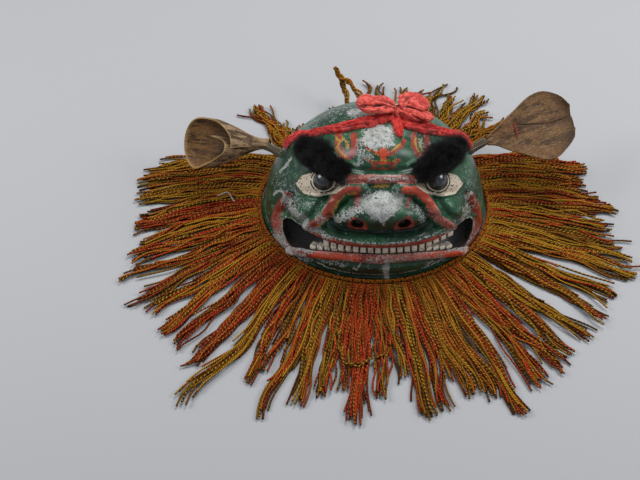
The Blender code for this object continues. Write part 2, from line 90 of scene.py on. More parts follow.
for word, place, power, size in LIGHTS:
    light = placed("light_" + word, bpy.data.lights.new("light_" + word, "AREA"))
    light.data.energy = power
    light.data.size = size
    light.location = MIDDLE + Vector(place)
    light.rotation_euler = (LIT_PLACE - light.location).to_track_quat("-Z", "Y").to_euler()

world = bpy.data.worlds.new("studio")
world.use_nodes = True
world.node_tree.nodes["Background"].inputs["Color"].default_value = SKY
world.node_tree.nodes["Background"].inputs["Strength"].default_value = SKY_STRENGTH
bpy.context.scene.world = world
bpy.context.scene.view_settings.view_transform = "Standard"

floor_mesh = bpy.data.meshes.new("floor")
corners = [(x * FLOOR_REACH, y * FLOOR_REACH, 0) for x, y in ((-1, -1), (1, -1), (1, 1), (-1, 1))]
floor_mesh.from_pydata(corners, [], [(0, 1, 2, 3)])
floor = placed("floor", floor_mesh)
pale = bpy.data.materials.new("pale_floor")
pale.use_nodes = True
pale.node_tree.nodes["Principled BSDF"].inputs["Base Color"].default_value = FLOOR_GREY
pale.node_tree.nodes["Principled BSDF"].inputs["Roughness"].default_value = 0.9
floor_mesh.materials.append(pale)

# The carved mask
# One block of light wood, carved to an even wall from behind, primed with chalk and lacquered green, with the
# bands and lips in red. Age has worn chips, rubbed edges and whole patches down to the chalk.
WALL = 0.008
RELIEF = 0.020
FLANGE_HEIGHT = 0.0075
FLANGE_SLOPE = 0.004
LINE_HEIGHT = 0.0155
GAP = 0.0004
FACE_LENGTH_SHARE = 0.6466
FACE_HEIGHT_SHARE = 0.7102
FACE_REACH = math.hypot(FACE_LENGTH_SHARE, FACE_HEIGHT_SHARE)
FACE_TURN = math.atan2(FACE_HEIGHT_SHARE, FACE_LENGTH_SHARE)
FACE_SHIFT = 0.02
SHARE = MASK_WIDTH / 2
OUTER_GRID = 272
INNER_GRID = 68
GRID_DRAWN_TO_FACE = 0.28
FAR = 9.0
MILLIMETRES = 1000
DEEP_GREEN = (0.008, 0.045, 0.022, 1)
GREEN = (0.022, 0.125, 0.052, 1)
FADED_GREEN = (0.060, 0.210, 0.110, 1)
GRIMY_SHADED_GREEN = (0.003, 0.014, 0.008, 1)
DUSTY_SHEEN_GREEN = (0.075, 0.090, 0.068, 1)
DEEP_RED = (0.230, 0.022, 0.016, 1)
RED = (0.420, 0.052, 0.024, 1)
VIVID_RED = (0.640, 0.075, 0.025, 1)
PALE_RED = (0.420, 0.220, 0.190, 1)
GRIMY_RED = (0.090, 0.030, 0.016, 1)
GOLD = (0.520, 0.270, 0.030, 1)
CREAM = (0.740, 0.630, 0.480, 1)
OLD_CREAM = (0.430, 0.330, 0.220, 1)
CREAM_SPECK = (0.110, 0.035, 0.025, 1)
EYE_BLACK = (0.006, 0.006, 0.007, 1)
CHALK = (0.510, 0.520, 0.500, 1)
GREY_CHALK = (0.330, 0.345, 0.320, 1)
CHALK_PIT = (0.030, 0.045, 0.032, 1)
CREVICE_GRIME_AND_SHADE = (0.004, 0.008, 0.005, 1)
CUT_SHADE_BROWN = (0.012, 0.008, 0.006, 1)
SHADED_OLD_WOOD = (0.009, 0.006, 0.004, 1)
SHADED_WOOD = (0.030, 0.019, 0.011, 1)
# Bump: across, up, half width and half height on the face plane, as shares of half the mask's width, and
# how far it rises, as a share of the relief
BUMPS = (
    ("forehead", 0.00, 0.465, 0.36, 0.19, 0.50),
    ("eyeball", 0.51, 0.215, 0.22, 0.13, 0.42),
    ("cheek", 0.59, -0.02, 0.19, 0.17, 0.55),
    ("nose", 0.00, -0.03, 0.26, 0.20, 0.95),
    ("nose wing", 0.27, -0.06, 0.15, 0.12, 0.55),
    ("chin", 0.00, -0.51, 0.60, 0.09, 0.20),
)
# Ridge: path, half width, rise
RIDGES = (
    ("brow", ((0.22, 0.25), (0.50, 0.41), (0.70, 0.56)), 0.12, 0.30),
    ("bridge", ((0.00, 0.245), (0.25, 0.245)), 0.06, 0.30),
    ("nasal band", ((0.15, 0.172), (0.29, 0.162), (0.395, 0.065), (0.46, -0.06), (0.58, -0.14)), 0.07, 0.50),
    (
        "upper lip",
        ((0.00, -0.284), (0.15, -0.279), (0.30, -0.262), (0.42, -0.234), (0.56, -0.166)), 0.055, 0.45,
    ),
    (
        "lower lip",
        ((0.00, -0.420), (0.28, -0.404), (0.47, -0.392), (0.62, -0.382), (0.76, -0.375)), 0.05, 0.38,
    ),
)
EYE_OUTLINE = (
    (0.270, 0.250), (0.275, 0.190), (0.350, 0.140), (0.500, 0.102), (0.640, 0.128), (0.710, 0.210),
    (0.660, 0.280), (0.520, 0.310), (0.360, 0.290),
)
CRESCENT = (
    (0.800, 0.110), (0.870, 0.000), (0.915, -0.110), (0.890, -0.220), (0.840, -0.315), (0.710, -0.360),
)
# Chisel lines beside the forms: path, half width, rise, which is negative for a groove
CHISELLED = (
    (((0.00, 0.318), (0.16, 0.322), (0.28, 0.345)), 0.034, -0.14),
    (((0.00, 0.200), (0.12, 0.200)), 0.022, -0.08),
    (((0.32, 0.215), (0.42, 0.155), (0.490, 0.060), (0.535, -0.040), (0.640, -0.095)), 0.046, -0.22),
    (((0.20, 0.120), (0.27, 0.105), (0.330, 0.040), (0.385, -0.040)), 0.032, -0.12),
    (((0.00, -0.205), (0.20, -0.203), (0.330, -0.185), (0.408, -0.140), (0.420, -0.050)), 0.030, -0.26),
    (((0.76, 0.120), (0.795, 0.050), (0.840, -0.040)), 0.034, -0.20),
    (
        ((0.27, 0.250), (0.275, 0.19), (0.350, 0.140), (0.500, 0.102), (0.640, 0.128), (0.710, 0.21)),
        0.022, 0.07,
    ),
    (((0.34, 0.105), (0.500, 0.075), (0.660, 0.100), (0.745, 0.20)), 0.024, -0.05),
    (((0.00, -0.482), (0.30, -0.466), (0.600, -0.440)), 0.020, -0.06),
    (CRESCENT, 0.045, 0.13),
)
# Across from the middle, the lower lip's edge, the upper lip's edge
MOUTH = (
    (0.000, -0.380, -0.324),
    (0.150, -0.377, -0.318),
    (0.300, -0.368, -0.298),
    (0.420, -0.360, -0.264),
    (0.560, -0.354, -0.198),
    (0.660, -0.342, -0.150),
    (0.760, -0.330, -0.095),
    (0.810, -0.285, -0.085),
    (0.840, -0.200, -0.110),
)
EYE = (0.4625, 0.244)
PUPIL_RADIUS = 0.0105
PUPIL_SEAT = 0.004
NOSTRIL = (0.19, -0.124)
NOSTRIL_WIDTH = 0.0142
NOSTRIL_HEIGHT = 0.0185
NOSTRIL_DEPTH = 0.011
# The red ring round a nostril reaches this many of its half widths, is kept low, and stays off the lip
NOSTRIL_RING = 1.75
NOSTRIL_RING_TALL = 2.1
NOSTRIL_RING_DEEP = 150
# How far round a place the carving is looked at to find what is hollow, as a share of the dome
HOLLOW_REACH = 0.022
# Painted on both sides alike: path, half width
RED_BANDS = (
    (((0.00, 0.246), (0.26, 0.246)), 0.036),
    (((0.19, 0.160), (0.29, 0.156), (0.385, 0.072), (0.44, -0.050), (0.58, -0.140)), 0.034),
    (CRESCENT, 0.034),
    (((0.00, -0.420), (0.28, -0.404), (0.47, -0.392), (0.62, -0.382), (0.76, -0.372)), 0.037),
    (((0.00, -0.304), (0.15, -0.298), (0.30, -0.278), (0.42, -0.250), (0.56, -0.190)), 0.027),
    (((0.850, -0.110), (0.862, -0.190), (0.830, -0.285), (0.770, -0.350)), 0.022),
    (((0.10, 0.336), (0.00, 0.336)), 0.008),
)
# Painted once, in red and then in gold: path, half width
RED_MARKS = (
    (
        ((-0.352, 0.640), (-0.358, 0.520), (-0.318, 0.450), (-0.262, 0.432), (-0.214, 0.480),
         (-0.222, 0.620)),
        0.030,
    ),
    (
        ((0.285, 0.620), (0.278, 0.500), (0.318, 0.444), (0.368, 0.450), (0.402, 0.520), (0.397, 0.620)),
        0.026,
    ),
    (
        ((-0.150, 0.560), (-0.115, 0.505), (-0.050, 0.455), (0.014, 0.430), (0.085, 0.458), (0.160, 0.510),
         (0.190, 0.560)),
        0.021,
    ),
    (((0.012, 0.470), (0.014, 0.385)), 0.027),
    (((-0.110, 0.400), (-0.060, 0.366), (0.014, 0.380), (0.095, 0.366), (0.140, 0.400)), 0.013),
    (((-0.196, 0.150), (-0.197, 0.020)), 0.026),
    (((0.245, 0.085), (0.220, 0.030)), 0.020),
)
GOLD_MARKS = (
    (((-0.372, 0.600), (-0.340, 0.560), (-0.372, 0.510), (-0.330, 0.470), (-0.300, 0.440)), 0.012),
    (((0.300, 0.600), (0.290, 0.520), (0.330, 0.452)), 0.008),
    (((-0.080, 0.500), (-0.040, 0.462)), 0.008),
    (((0.080, 0.470), (0.150, 0.520)), 0.010),
    (((-0.05, 0.186), (0.06, 0.190)), 0.014),
    (((-0.200, 0.135), (-0.285, 0.128), (-0.350, 0.055), (-0.402, -0.060), (-0.500, -0.132)), 0.007),
    (((-0.320, 0.600), (-0.285, 0.560), (-0.270, 0.500)), 0.010),
    (((0.350, 0.590), (0.335, 0.540), (0.350, 0.490)), 0.010),
    (((-0.110, 0.470), (-0.020, 0.430)), 0.006),
    (((-0.08, 0.392), (0.12, 0.392)), 0.005),
)
# Where the lacquer is gone down to the chalk, as closed outlines
LOST_PATCHES = (
    ((-0.145, 0.660), (-0.148, 0.530), (-0.080, 0.488), (0.006, 0.492), (0.092, 0.515), (0.112, 0.660),
     (-0.024, 0.720)),
    ((-0.155, 0.120), (-0.160, 0.044), (-0.093, -0.020), (-0.01, -0.045), (0.02, -0.085), (0.06, -0.03),
     (0.170, 0.036), (0.180, 0.120), (0.011, 0.137)),
)
# Where the red is fresher, and where it is rubbed pale: path, half width
BRIGHT_STROKES = (
    (((0.17, 0.165), (0.30, 0.150), (0.39, 0.040)), 0.07),
    (((0.014, 0.460), (0.015, 0.360)), 0.05),
    (((-0.52, -0.395), (-0.20, -0.42)), 0.05),
    (((0.32, -0.40), (0.70, -0.38)), 0.05),
)
PALE_RED_STROKES = (
    (((0.41, -0.02), (0.46, -0.09), (0.59, -0.14)), 0.07),
    (((0.00, -0.42), (0.34, -0.40)), 0.06),
    (((-0.22, 0.246), (0.22, 0.246)), 0.05),
    (((-0.86, -0.10), (-0.86, -0.30)), 0.08),
    (((0.85, -0.20), (0.78, -0.35)), 0.08),
)
# Rubbed places, and grime with painted shade under the nose and round the chin: path, half width, how much
LOST_STROKES = (
    (((-0.395, -0.100), (-0.303, -0.050), (-0.234, -0.018), (-0.160, 0.020)), 0.034, 0.74),
    (((0.237, 0.050), (0.285, 0.030), (0.350, -0.028), (0.347, -0.088)), 0.038, 0.50),
    (((-0.790, 0.050), (-0.692, -0.027), (-0.618, -0.088), (-0.566, -0.145)), 0.050, 0.76),
    (((-0.700, 0.080), (-0.560, 0.030)), 0.080, 0.32),
    (((0.776, 0.000), (0.716, -0.066)), 0.070, 0.62),
    (((0.600, -0.100), (0.700, -0.095), (0.770, -0.040)), 0.030, 0.60),
    (((-0.931, 0.125), (-0.870, 0.150), (-0.826, 0.130), (-0.790, 0.087), (-0.775, 0.020)), 0.013, 1.00),
    (((0.800, 0.125), (0.755, 0.085), (0.765, 0.020)), 0.013, 0.80),
    (((-0.890, -0.250), (-0.830, -0.330), (-0.740, -0.385), (-0.640, -0.425)), 0.058, 0.78),
    (((0.052, -0.445), (0.058, -0.500), (0.074, -0.600)), 0.028, 1.00),
    (((-0.160, -0.455), (-0.175, -0.480), (-0.190, -0.505), (-0.225, -0.503)), 0.013, 0.95),
    (((-0.872, 0.314), (-0.817, 0.347), (-0.773, 0.416)), 0.013, 0.90),
    (((-0.166, 0.450), (-0.192, 0.377), (-0.209, 0.362), (-0.144, 0.368)), 0.015, 0.85),
    (((-0.70, 0.68), (-0.50, 0.80), (-0.30, 0.89), (-0.10, 0.92)), 0.090, 0.33),
    (((-0.24, 0.815), (-0.07, 0.825)), 0.045, 0.80),
    (((-0.16, 0.56), (-0.17, 0.44), (-0.10, 0.42)), 0.040, 0.50),
    (((-0.30, 0.60), (-0.30, 0.50)), 0.040, 0.22),
    (((0.34, 0.60), (0.34, 0.50)), 0.040, 0.36),
    (((0.44, 0.56), (0.47, 0.48)), 0.030, 0.45),
    (((-0.35, -0.44), (0.55, -0.40)), 0.030, 0.45),
    (((-0.55, 0.05), (-0.46, -0.08)), 0.040, 0.42),
    (((-0.56, -0.125), (-0.49, -0.17), (-0.42, -0.22)), 0.024, 0.70),
    (((0.50, -0.20), (0.58, -0.165)), 0.020, 0.60),
    (((-0.10, 0.246), (0.20, 0.246)), 0.014, 0.62),
    (((-0.60, -0.43), (-0.30, -0.49)), 0.020, 0.55),
    (((0.40, -0.49), (0.80, -0.40)), 0.016, 0.45),
    (((-0.87, 0.24), (-0.60, 0.06)), 0.080, 0.30),
    (((0.80, 0.30), (0.86, 0.10)), 0.080, 0.25),
    (((-0.12, 0.150), (0.10, 0.160)), 0.028, 0.30),
)
GRIME_AND_SHADE = (
    (((-0.30, -0.150), (0.34, -0.150)), 0.11, 0.95),
    (((-0.40, -0.06), (-0.38, -0.15)), 0.05, 0.8),
    (((-0.70, -0.52), (0.00, -0.58), (0.70, -0.50)), 0.13, 0.70),
    (((-0.62, 0.45), (-0.42, 0.29)), 0.10, 0.8),
    (((-0.94, 0.20), (-0.90, 0.40), (-0.75, 0.60)), 0.12, 0.5),
)


class Wire:
    """One output of a node tree. Arithmetic on it adds Math nodes."""

    def __init__(self, nodes, socket):
        self.nodes, self.socket = nodes, socket

    def __add__(self, other):
        return self.nodes.math("ADD", self, other)

    def __sub__(self, other):
        return self.nodes.math("SUBTRACT", self, other)

    def __mul__(self, other):
        return self.nodes.math("MULTIPLY", self, other)

    def __rsub__(self, other):
        return self.nodes.math("SUBTRACT", other, self)

    __radd__, __rmul__ = __add__, __mul__


class Nodes:
    """A node tree that grows by calls: a node's kind, its settings, and what goes into its sockets."""

    def __init__(self, tree):
        self.tree = tree
        tree.nodes.clear()

    def add(self, kind, settings=(), inputs=(), out=0):
        made = self.tree.nodes.new(kind)
        for key, value in dict(settings).items():
            setattr(made, key, value)
        for key, value in dict(inputs).items():
            if isinstance(value, Wire):
                self.tree.links.new(value.socket, made.inputs[key])
            else:
                made.inputs[key].default_value = value
        return Wire(self, made.outputs[out]) if len(made.outputs) else made

    def math(self, operation, *values):
        return self.add("ShaderNodeMath", {"operation": operation}, enumerate(values))


class Finish(Nodes):
    """A surface finish, patterned in the object's own metres."""

    def __init__(self, name):
        self.material = bpy.data.materials.new(name)
        self.material.use_nodes = True
        super().__init__(self.material.node_tree)
        self.place = self.add("ShaderNodeTexCoord", out="Object")

    def field(self, name):
        return self.add("ShaderNodeAttribute", {"attribute_name": name}, out="Fac")

    def stretched(self, scale, turn=(0, 0, 0)):
        sockets = {"Vector": self.place, "Scale": [1 / share for share in scale], "Rotation": turn}
        return self.add("ShaderNodeMapping", {"vector_type": "TEXTURE"}, sockets)

    def parts(self, vector):
        split = self.add("ShaderNodeSeparateXYZ", (), {"Vector": vector}).socket.node
        return [Wire(self, socket) for socket in split.outputs]

    def noise(self, scale, detail=2.0, roughness=0.55, place=None):
        sockets = {"Vector": place or self.place, "Scale": scale, "Detail": detail, "Roughness": roughness}
        return self.add("ShaderNodeTexNoise", (), sockets)

    def step(self, value, start, end):
        sockets = {"Value": value, "From Min": start, "From Max": end}
        return self.add("ShaderNodeMapRange", {"interpolation_type": "SMOOTHSTEP"}, sockets)

    def mix(self, first, second, share):
        return self.add("ShaderNodeMix", {"data_type": "RGBA"}, {0: share, 6: first, 7: second}, out=2)

    def done(self, colour, roughness, height=None, depth=0.001, strength=1.0, fixed=()):
        sockets = {"Base Color": colour, "Roughness": roughness, **dict(fixed)}
        if height is not None:
            bump = {"Height": height, "Distance": depth, "Strength": strength}
            sockets["Normal"] = self.add("ShaderNodeBump", (), bump)
        shader = self.add("ShaderNodeBsdfPrincipled", (), sockets)
        self.add("ShaderNodeOutputMaterial", (), {"Surface": shader})
        return self.material


def smooth_step(start, end, value):
    t = np.clip((value - start) / (end - start), 0, 1)
    return t * t * (3 - 2 * t)


def path_distance(p, q, path):
    """How far each place of the face plane is from a path on it."""
    best = np.full(np.shape(p), FAR)
    for (ax, ay), (bx, by) in zip(path, path[1:]):
        dx, dy = bx - ax, by - ay
        t = np.clip(((p - ax) * dx + (q - ay) * dy) / (dx * dx + dy * dy), 0, 1)
        best = np.minimum(best, np.hypot(p - ax - t * dx, q - ay - t * dy))
    return best


def inside_distance(p, q, outline):
    """How far each place is inside a closed outline, and less than nothing outside it."""
    inside = np.zeros(np.shape(p), bool)
    closed = tuple(outline) + (outline[0],)
    for (ax, ay), (bx, by) in zip(closed, closed[1:]):
        if ay != by:
            inside ^= ((q < ay) != (q < by)) & (p < ax + (q - ay) * (bx - ax) / (by - ay))
    return path_distance(p, q, closed) * np.where(inside, 1, -1)


def face_place(nx, ny, nz):
    """Across, up and out of the face plane for the dome's unit directions."""
    return (
        nx - FACE_SHIFT,
        FACE_LENGTH_SHARE * ny + FACE_HEIGHT_SHARE * nz,
        nz * FACE_LENGTH_SHARE - ny * FACE_HEIGHT_SHARE,
    )


def relief(nx, ny, nz):
    """How far the carving stands proud of the plain dome, in metres."""
    across, q, out = face_place(nx, ny, nz)
    p = np.abs(across)
    total = np.zeros(np.shape(nx))
    for _, a, u, half_width, half_height, rise in BUMPS:
        away = ((p - a) / half_width) ** 2 + ((q - u) / half_height) ** 2
        total = total + rise * np.clip(1 - away, 0, 1) ** 1.5
    ridges = np.zeros(np.shape(nx))
    for _, path, half_width, rise in RIDGES:
        away = path_distance(p, q, path) / half_width
        ridges = np.maximum(ridges, rise * np.clip(1 - away * away, 0, 1))
    total = total + ridges
    for path, half_width, rise in CHISELLED:
        away = path_distance(p, q, path) / half_width
        total = total + rise * np.clip(1 - away * away, 0, 1) ** 1.5
    above_flange = smooth_step(FLANGE_HEIGHT, FLANGE_HEIGHT + FLANGE_SLOPE, nz * MASK_HEIGHT)
    return total * RELIEF * smooth_step(0.0, 0.2, out) * above_flange + FLANGE_OUT * (1 - above_flange)


def dome_points(nx, ny, nz, lift):
    """Points on the dome's unit directions, lifted along its normal."""
    half = np.array((MASK_WIDTH / 2, MASK_LENGTH / 2, MASK_HEIGHT))
    place = np.stack([nx, ny, nz], -1)
    normal = place / half
    normal /= np.linalg.norm(normal, axis=-1, keepdims=True)
    return place * half + normal * np.asarray(lift)[..., None] + np.array(MIDDLE)


def unlifted(points):
    """The dome's unit directions under some points, and how far each point is lifted."""
    half = np.array((MASK_WIDTH / 2, MASK_LENGTH / 2, MASK_HEIGHT))
    local = points - np.array(MIDDLE)
    place = local / half
    for _ in range(6):
        place /= np.linalg.norm(place, axis=-1, keepdims=True)
        normal = place / half
        normal /= np.linalg.norm(normal, axis=-1, keepdims=True)
        lift = ((local - place * half) * normal).sum(-1)
        place = place + (local - place * half - normal * lift[:, None]) / half
    place /= np.linalg.norm(place, axis=-1, keepdims=True)
    return place[:, 0], place[:, 1], place[:, 2], lift


def direction(across, up):
    """The dome's unit direction under a place on the face plane."""
    across += FACE_SHIFT
    reach = math.sqrt(max(1 - across * across, 1e-6))
    turn = FACE_TURN + math.acos(max(-1.0, min(1.0, up / (reach * FACE_REACH))))
    return tuple(np.array(v) for v in (across, reach * math.cos(turn), reach * math.sin(turn)))


def on_dome(across, up, lift):
    """A point over a place on the face plane, lifted from the plain dome."""
    return Vector(dome_points(*direction(across, up), np.array(lift)).tolist())


def on_carving(across, up, lift):
    """A point over a place on the face plane, lifted from the carving."""
    return on_dome(across, up, lift + float(relief(*direction(across, up))))


def frame_at(across, up):
    """Place, right, up and out on the carved surface."""
    here = on_carving(across, up, 0)
    out = (on_dome(across, up, 0.01) - on_dome(across, up, 0)).normalized()
    right = (on_dome(across + 0.01, up, 0) - on_dome(across, up, 0)).normalized()
    right = (right - out * right.dot(out)).normalized()
    return here, right, out.cross(right), out


def disc_grid(count):
    """A square grid of unit directions over the dome, closer together on the face."""
    s, t = np.meshgrid(np.linspace(-1, 1, count + 1), np.linspace(-1, 1, count + 1))
    side = np.abs(s) > np.abs(t)
    radius = np.where(side, s, t)
    with np.errstate(divide="ignore", invalid="ignore"):
        turn = np.where(side, math.pi / 4 * t / s, math.pi / 2 - math.pi / 4 * s / t)
    turn = np.nan_to_num(turn)
    x, y = radius * np.cos(turn), radius * np.sin(turn)
    y = y - GRID_DRAWN_TO_FACE * (1 - x * x - y * y)
    radius = np.hypot(x, y)
    turn = np.arctan2(y, x)
    polar = np.clip(radius, 0, 1) * math.pi / 2
    return np.sin(polar) * np.cos(turn), np.sin(polar) * np.sin(turn), np.cos(polar)


def rim_of(count):
    """The grid's border, once round."""
    n = count + 1
    return (
        list(range(count)) + [count + i * n for i in range(count)]
        + [n * n - 1 - i for i in range(count)] + [(n - 1) * n - i * n for i in range(count)]
    )


def solid(name, points, faces, *finishes, smooth=None):
    """A closed mesh object with its faces pointing out, smooth up to an angle in degrees."""
    mesh = bpy.data.meshes.new(name)
    mesh.from_pydata(points, [], faces)
    work = bmesh.new()
    work.from_mesh(mesh)
    bmesh.ops.recalc_face_normals(work, faces=work.faces)
    bmesh.ops.triangulate(work, faces=work.faces)
    work.to_mesh(mesh)
    work.free()
    for finish in finishes:
        mesh.materials.append(finish)
    if smooth:
        mesh.shade_smooth()
        mesh.set_sharp_from_angle(angle=math.radians(smooth))
    return placed(name, mesh)


def lofted(rings, base=0):
    """Points and faces of a closed solid through rings that have the same count."""
    count = len(rings[0])
    points = [tuple(p) for ring in rings for p in ring]
    faces = []
    for i in range(len(rings) - 1):
        a, b = base + i * count, base + (i + 1) * count
        faces += [(a + j, a + (j + 1) % count, b + (j + 1) % count, b + j) for j in range(count)]
    end = base + (len(rings) - 1) * count
    faces += [tuple(base + j for j in range(count)), tuple(end + j for j in range(count))]
    return points, faces


def disc_rings(place, right, up, out, shape, sides):
    """Rings round an axis: shape rows are half width, half height, distance out."""
    turns = [2 * math.pi * k / sides for k in range(sides)]
    return [
        [place + right * wide * math.cos(t) + up * tall * math.sin(t) + out * far for t in turns]
        for wide, tall, far in shape
    ]


def mouth_edges(across):
    """How far up the mouth's lower and upper edges are, at a place across the face."""
    stations, lower, upper = zip(*MOUTH)
    return float(np.interp(abs(across), stations, lower)), float(np.interp(abs(across), stations, upper))


def cloud(x, y, seed):
    """Smooth random heights from 0 to 1 over a plane, one bump to a unit."""
    table = np.random.default_rng(seed).random((64, 64))
    x0, y0 = np.floor(x).astype(int), np.floor(y).astype(int)
    fx, fy = x - x0, y - y0
    fx, fy = fx * fx * (3 - 2 * fx), fy * fy * (3 - 2 * fy)
    a, b = table[x0 % 64, y0 % 64], table[(x0 + 1) % 64, y0 % 64]
    c, d = table[x0 % 64, (y0 + 1) % 64], table[(x0 + 1) % 64, (y0 + 1) % 64]
    return (a * (1 - fx) + b * fx) * (1 - fy) + (c * (1 - fx) + d * fx) * fy


def painted(inside, rows, p, q):
    """How far each place is inside the nearest of some bands, which are rows of path and half width."""
    for path, half_width in rows:
        inside = np.maximum(inside, half_width - path_distance(p, q, path))
    return inside


def rubbed(amount, rows, p, q, start, end):
    """How strong some soft strokes are at each place, fading between two shares of their half width."""
    for path, half_width, *share in rows:
        stroke = smooth_step(start, end, path_distance(p, q, path) / half_width)
        amount = np.maximum(amount, share[0] * stroke if share else stroke)
    return amount


def mask_paint(mesh):
    """Where each paint, loss, grime and painted shade lies, kept on the mesh's points."""
    points = np.empty(len(mesh.vertices) * 3)
    mesh.vertices.foreach_get("co", points)
    points = points.reshape(-1, 3)
    nx, ny, nz, lift = unlifted(points)
    across, up, out = face_place(nx, ny, nz)
    both = np.abs(across)
    front = out > 0.02
    nothing = np.zeros(len(nx))
    red = painted(nothing - 1, RED_BANDS, both, up)
    red = painted(red, RED_MARKS, across, up)
    gold = painted(nothing - 1, GOLD_MARKS, across, up)
    cream = inside_distance(both, up, EYE_OUTLINE)
    eyes, holes = nothing + FAR, nothing + FAR
    for side in (-1, 1):
        eye_place = np.array(frame_at(side * EYE[0], EYE[1])[0])
        eyes = np.minimum(eyes, np.linalg.norm(points - eye_place, axis=1))
        place, right, rise, _ = frame_at(side * NOSTRIL[0], NOSTRIL[1])
        local = points - np.array(place)
        wide = local @ np.array(right) / NOSTRIL_WIDTH * 2
        tall = local @ np.array(rise) / NOSTRIL_HEIGHT * NOSTRIL_RING_TALL
        out_of_hole = local @ np.array(right.cross(rise)) * NOSTRIL_RING_DEEP
        holes = np.minimum(holes, np.hypot(np.hypot(wide, tall), out_of_hole))
    wander, drift = (
        0.030 * (cloud(across * 16 + 30, up * 16 + 30, coarse) - 0.5)
        + 0.014 * (cloud(across * 55, up * 55, fine) - 0.5)
        for coarse, fine in ((2, 3), (4, 5))
    )
    lost = nothing
    for outline in LOST_PATCHES:
        deep = inside_distance(across + wander, up + drift, outline)
        lost = np.maximum(lost, smooth_step(-0.036, 0.020, deep))
    lost = rubbed(lost, LOST_STROKES, across + wander, up + drift, 1.7, 0.2)
    outline = [(a, u) for a, _, u in MOUTH] + [(a, u) for a, u, _ in reversed(MOUTH)]
    edge = np.abs(path_distance(both, up, outline))
    lost = np.maximum(lost, smooth_step(0.030, 0.004, edge) * np.where(both > 0.55, 0.62, 0.20))
    lips = path_distance(both, up, [(a, u + 0.056) for a, _, u in MOUTH[:5]])
    lost = np.maximum(lost, 0.62 * smooth_step(0.010, 0.002, lips))
    height = points[:, 2]
    flange = np.abs(height - LINE_HEIGHT + 0.05 * wander)
    lost = np.maximum(lost, 0.66 * smooth_step(0.0020, 0.0005, flange))
    bright = rubbed(nothing, BRIGHT_STROKES, across, up, 1.2, 0.4)
    pale = rubbed(nothing, PALE_RED_STROKES, across, up, 1.3, 0.3)
    grime = rubbed(nothing, GRIME_AND_SHADE, across, up, 1.3, 0.2)
    here = relief(nx, ny, nz)
    around = np.zeros(len(nx))
    for dx, dy in ((HOLLOW_REACH, 0), (-HOLLOW_REACH, 0), (0, HOLLOW_REACH), (0, -HOLLOW_REACH)):
        far = np.stack([nx + dx, ny + dy * FACE_LENGTH_SHARE, nz + dy * FACE_HEIGHT_SHARE], -1)
        far /= np.linalg.norm(far, axis=1, keepdims=True)
        around += relief(far[:, 0], far[:, 1], np.maximum(far[:, 2], 0)) / 4
    hollow = (around - here) * MILLIMETRES
    depth = (here - lift) * MILLIMETRES
    red = np.maximum(red * MILLIMETRES * SHARE, (NOSTRIL_RING - holes) * 5)
    fields = {
        "red": np.where(front, red, -FAR), "gold": gold * MILLIMETRES * SHARE,
        "cream": cream * MILLIMETRES * SHARE, "eye": eyes * MILLIMETRES, "lost": lost, "grime": grime,
        "hollow": hollow, "depth": depth, "out": out, "bright": bright, "pale": pale,
    }
    for name, values in fields.items():
        mesh.attributes.new(name, "FLOAT", "POINT").data.foreach_set("value", values.astype(np.float32))


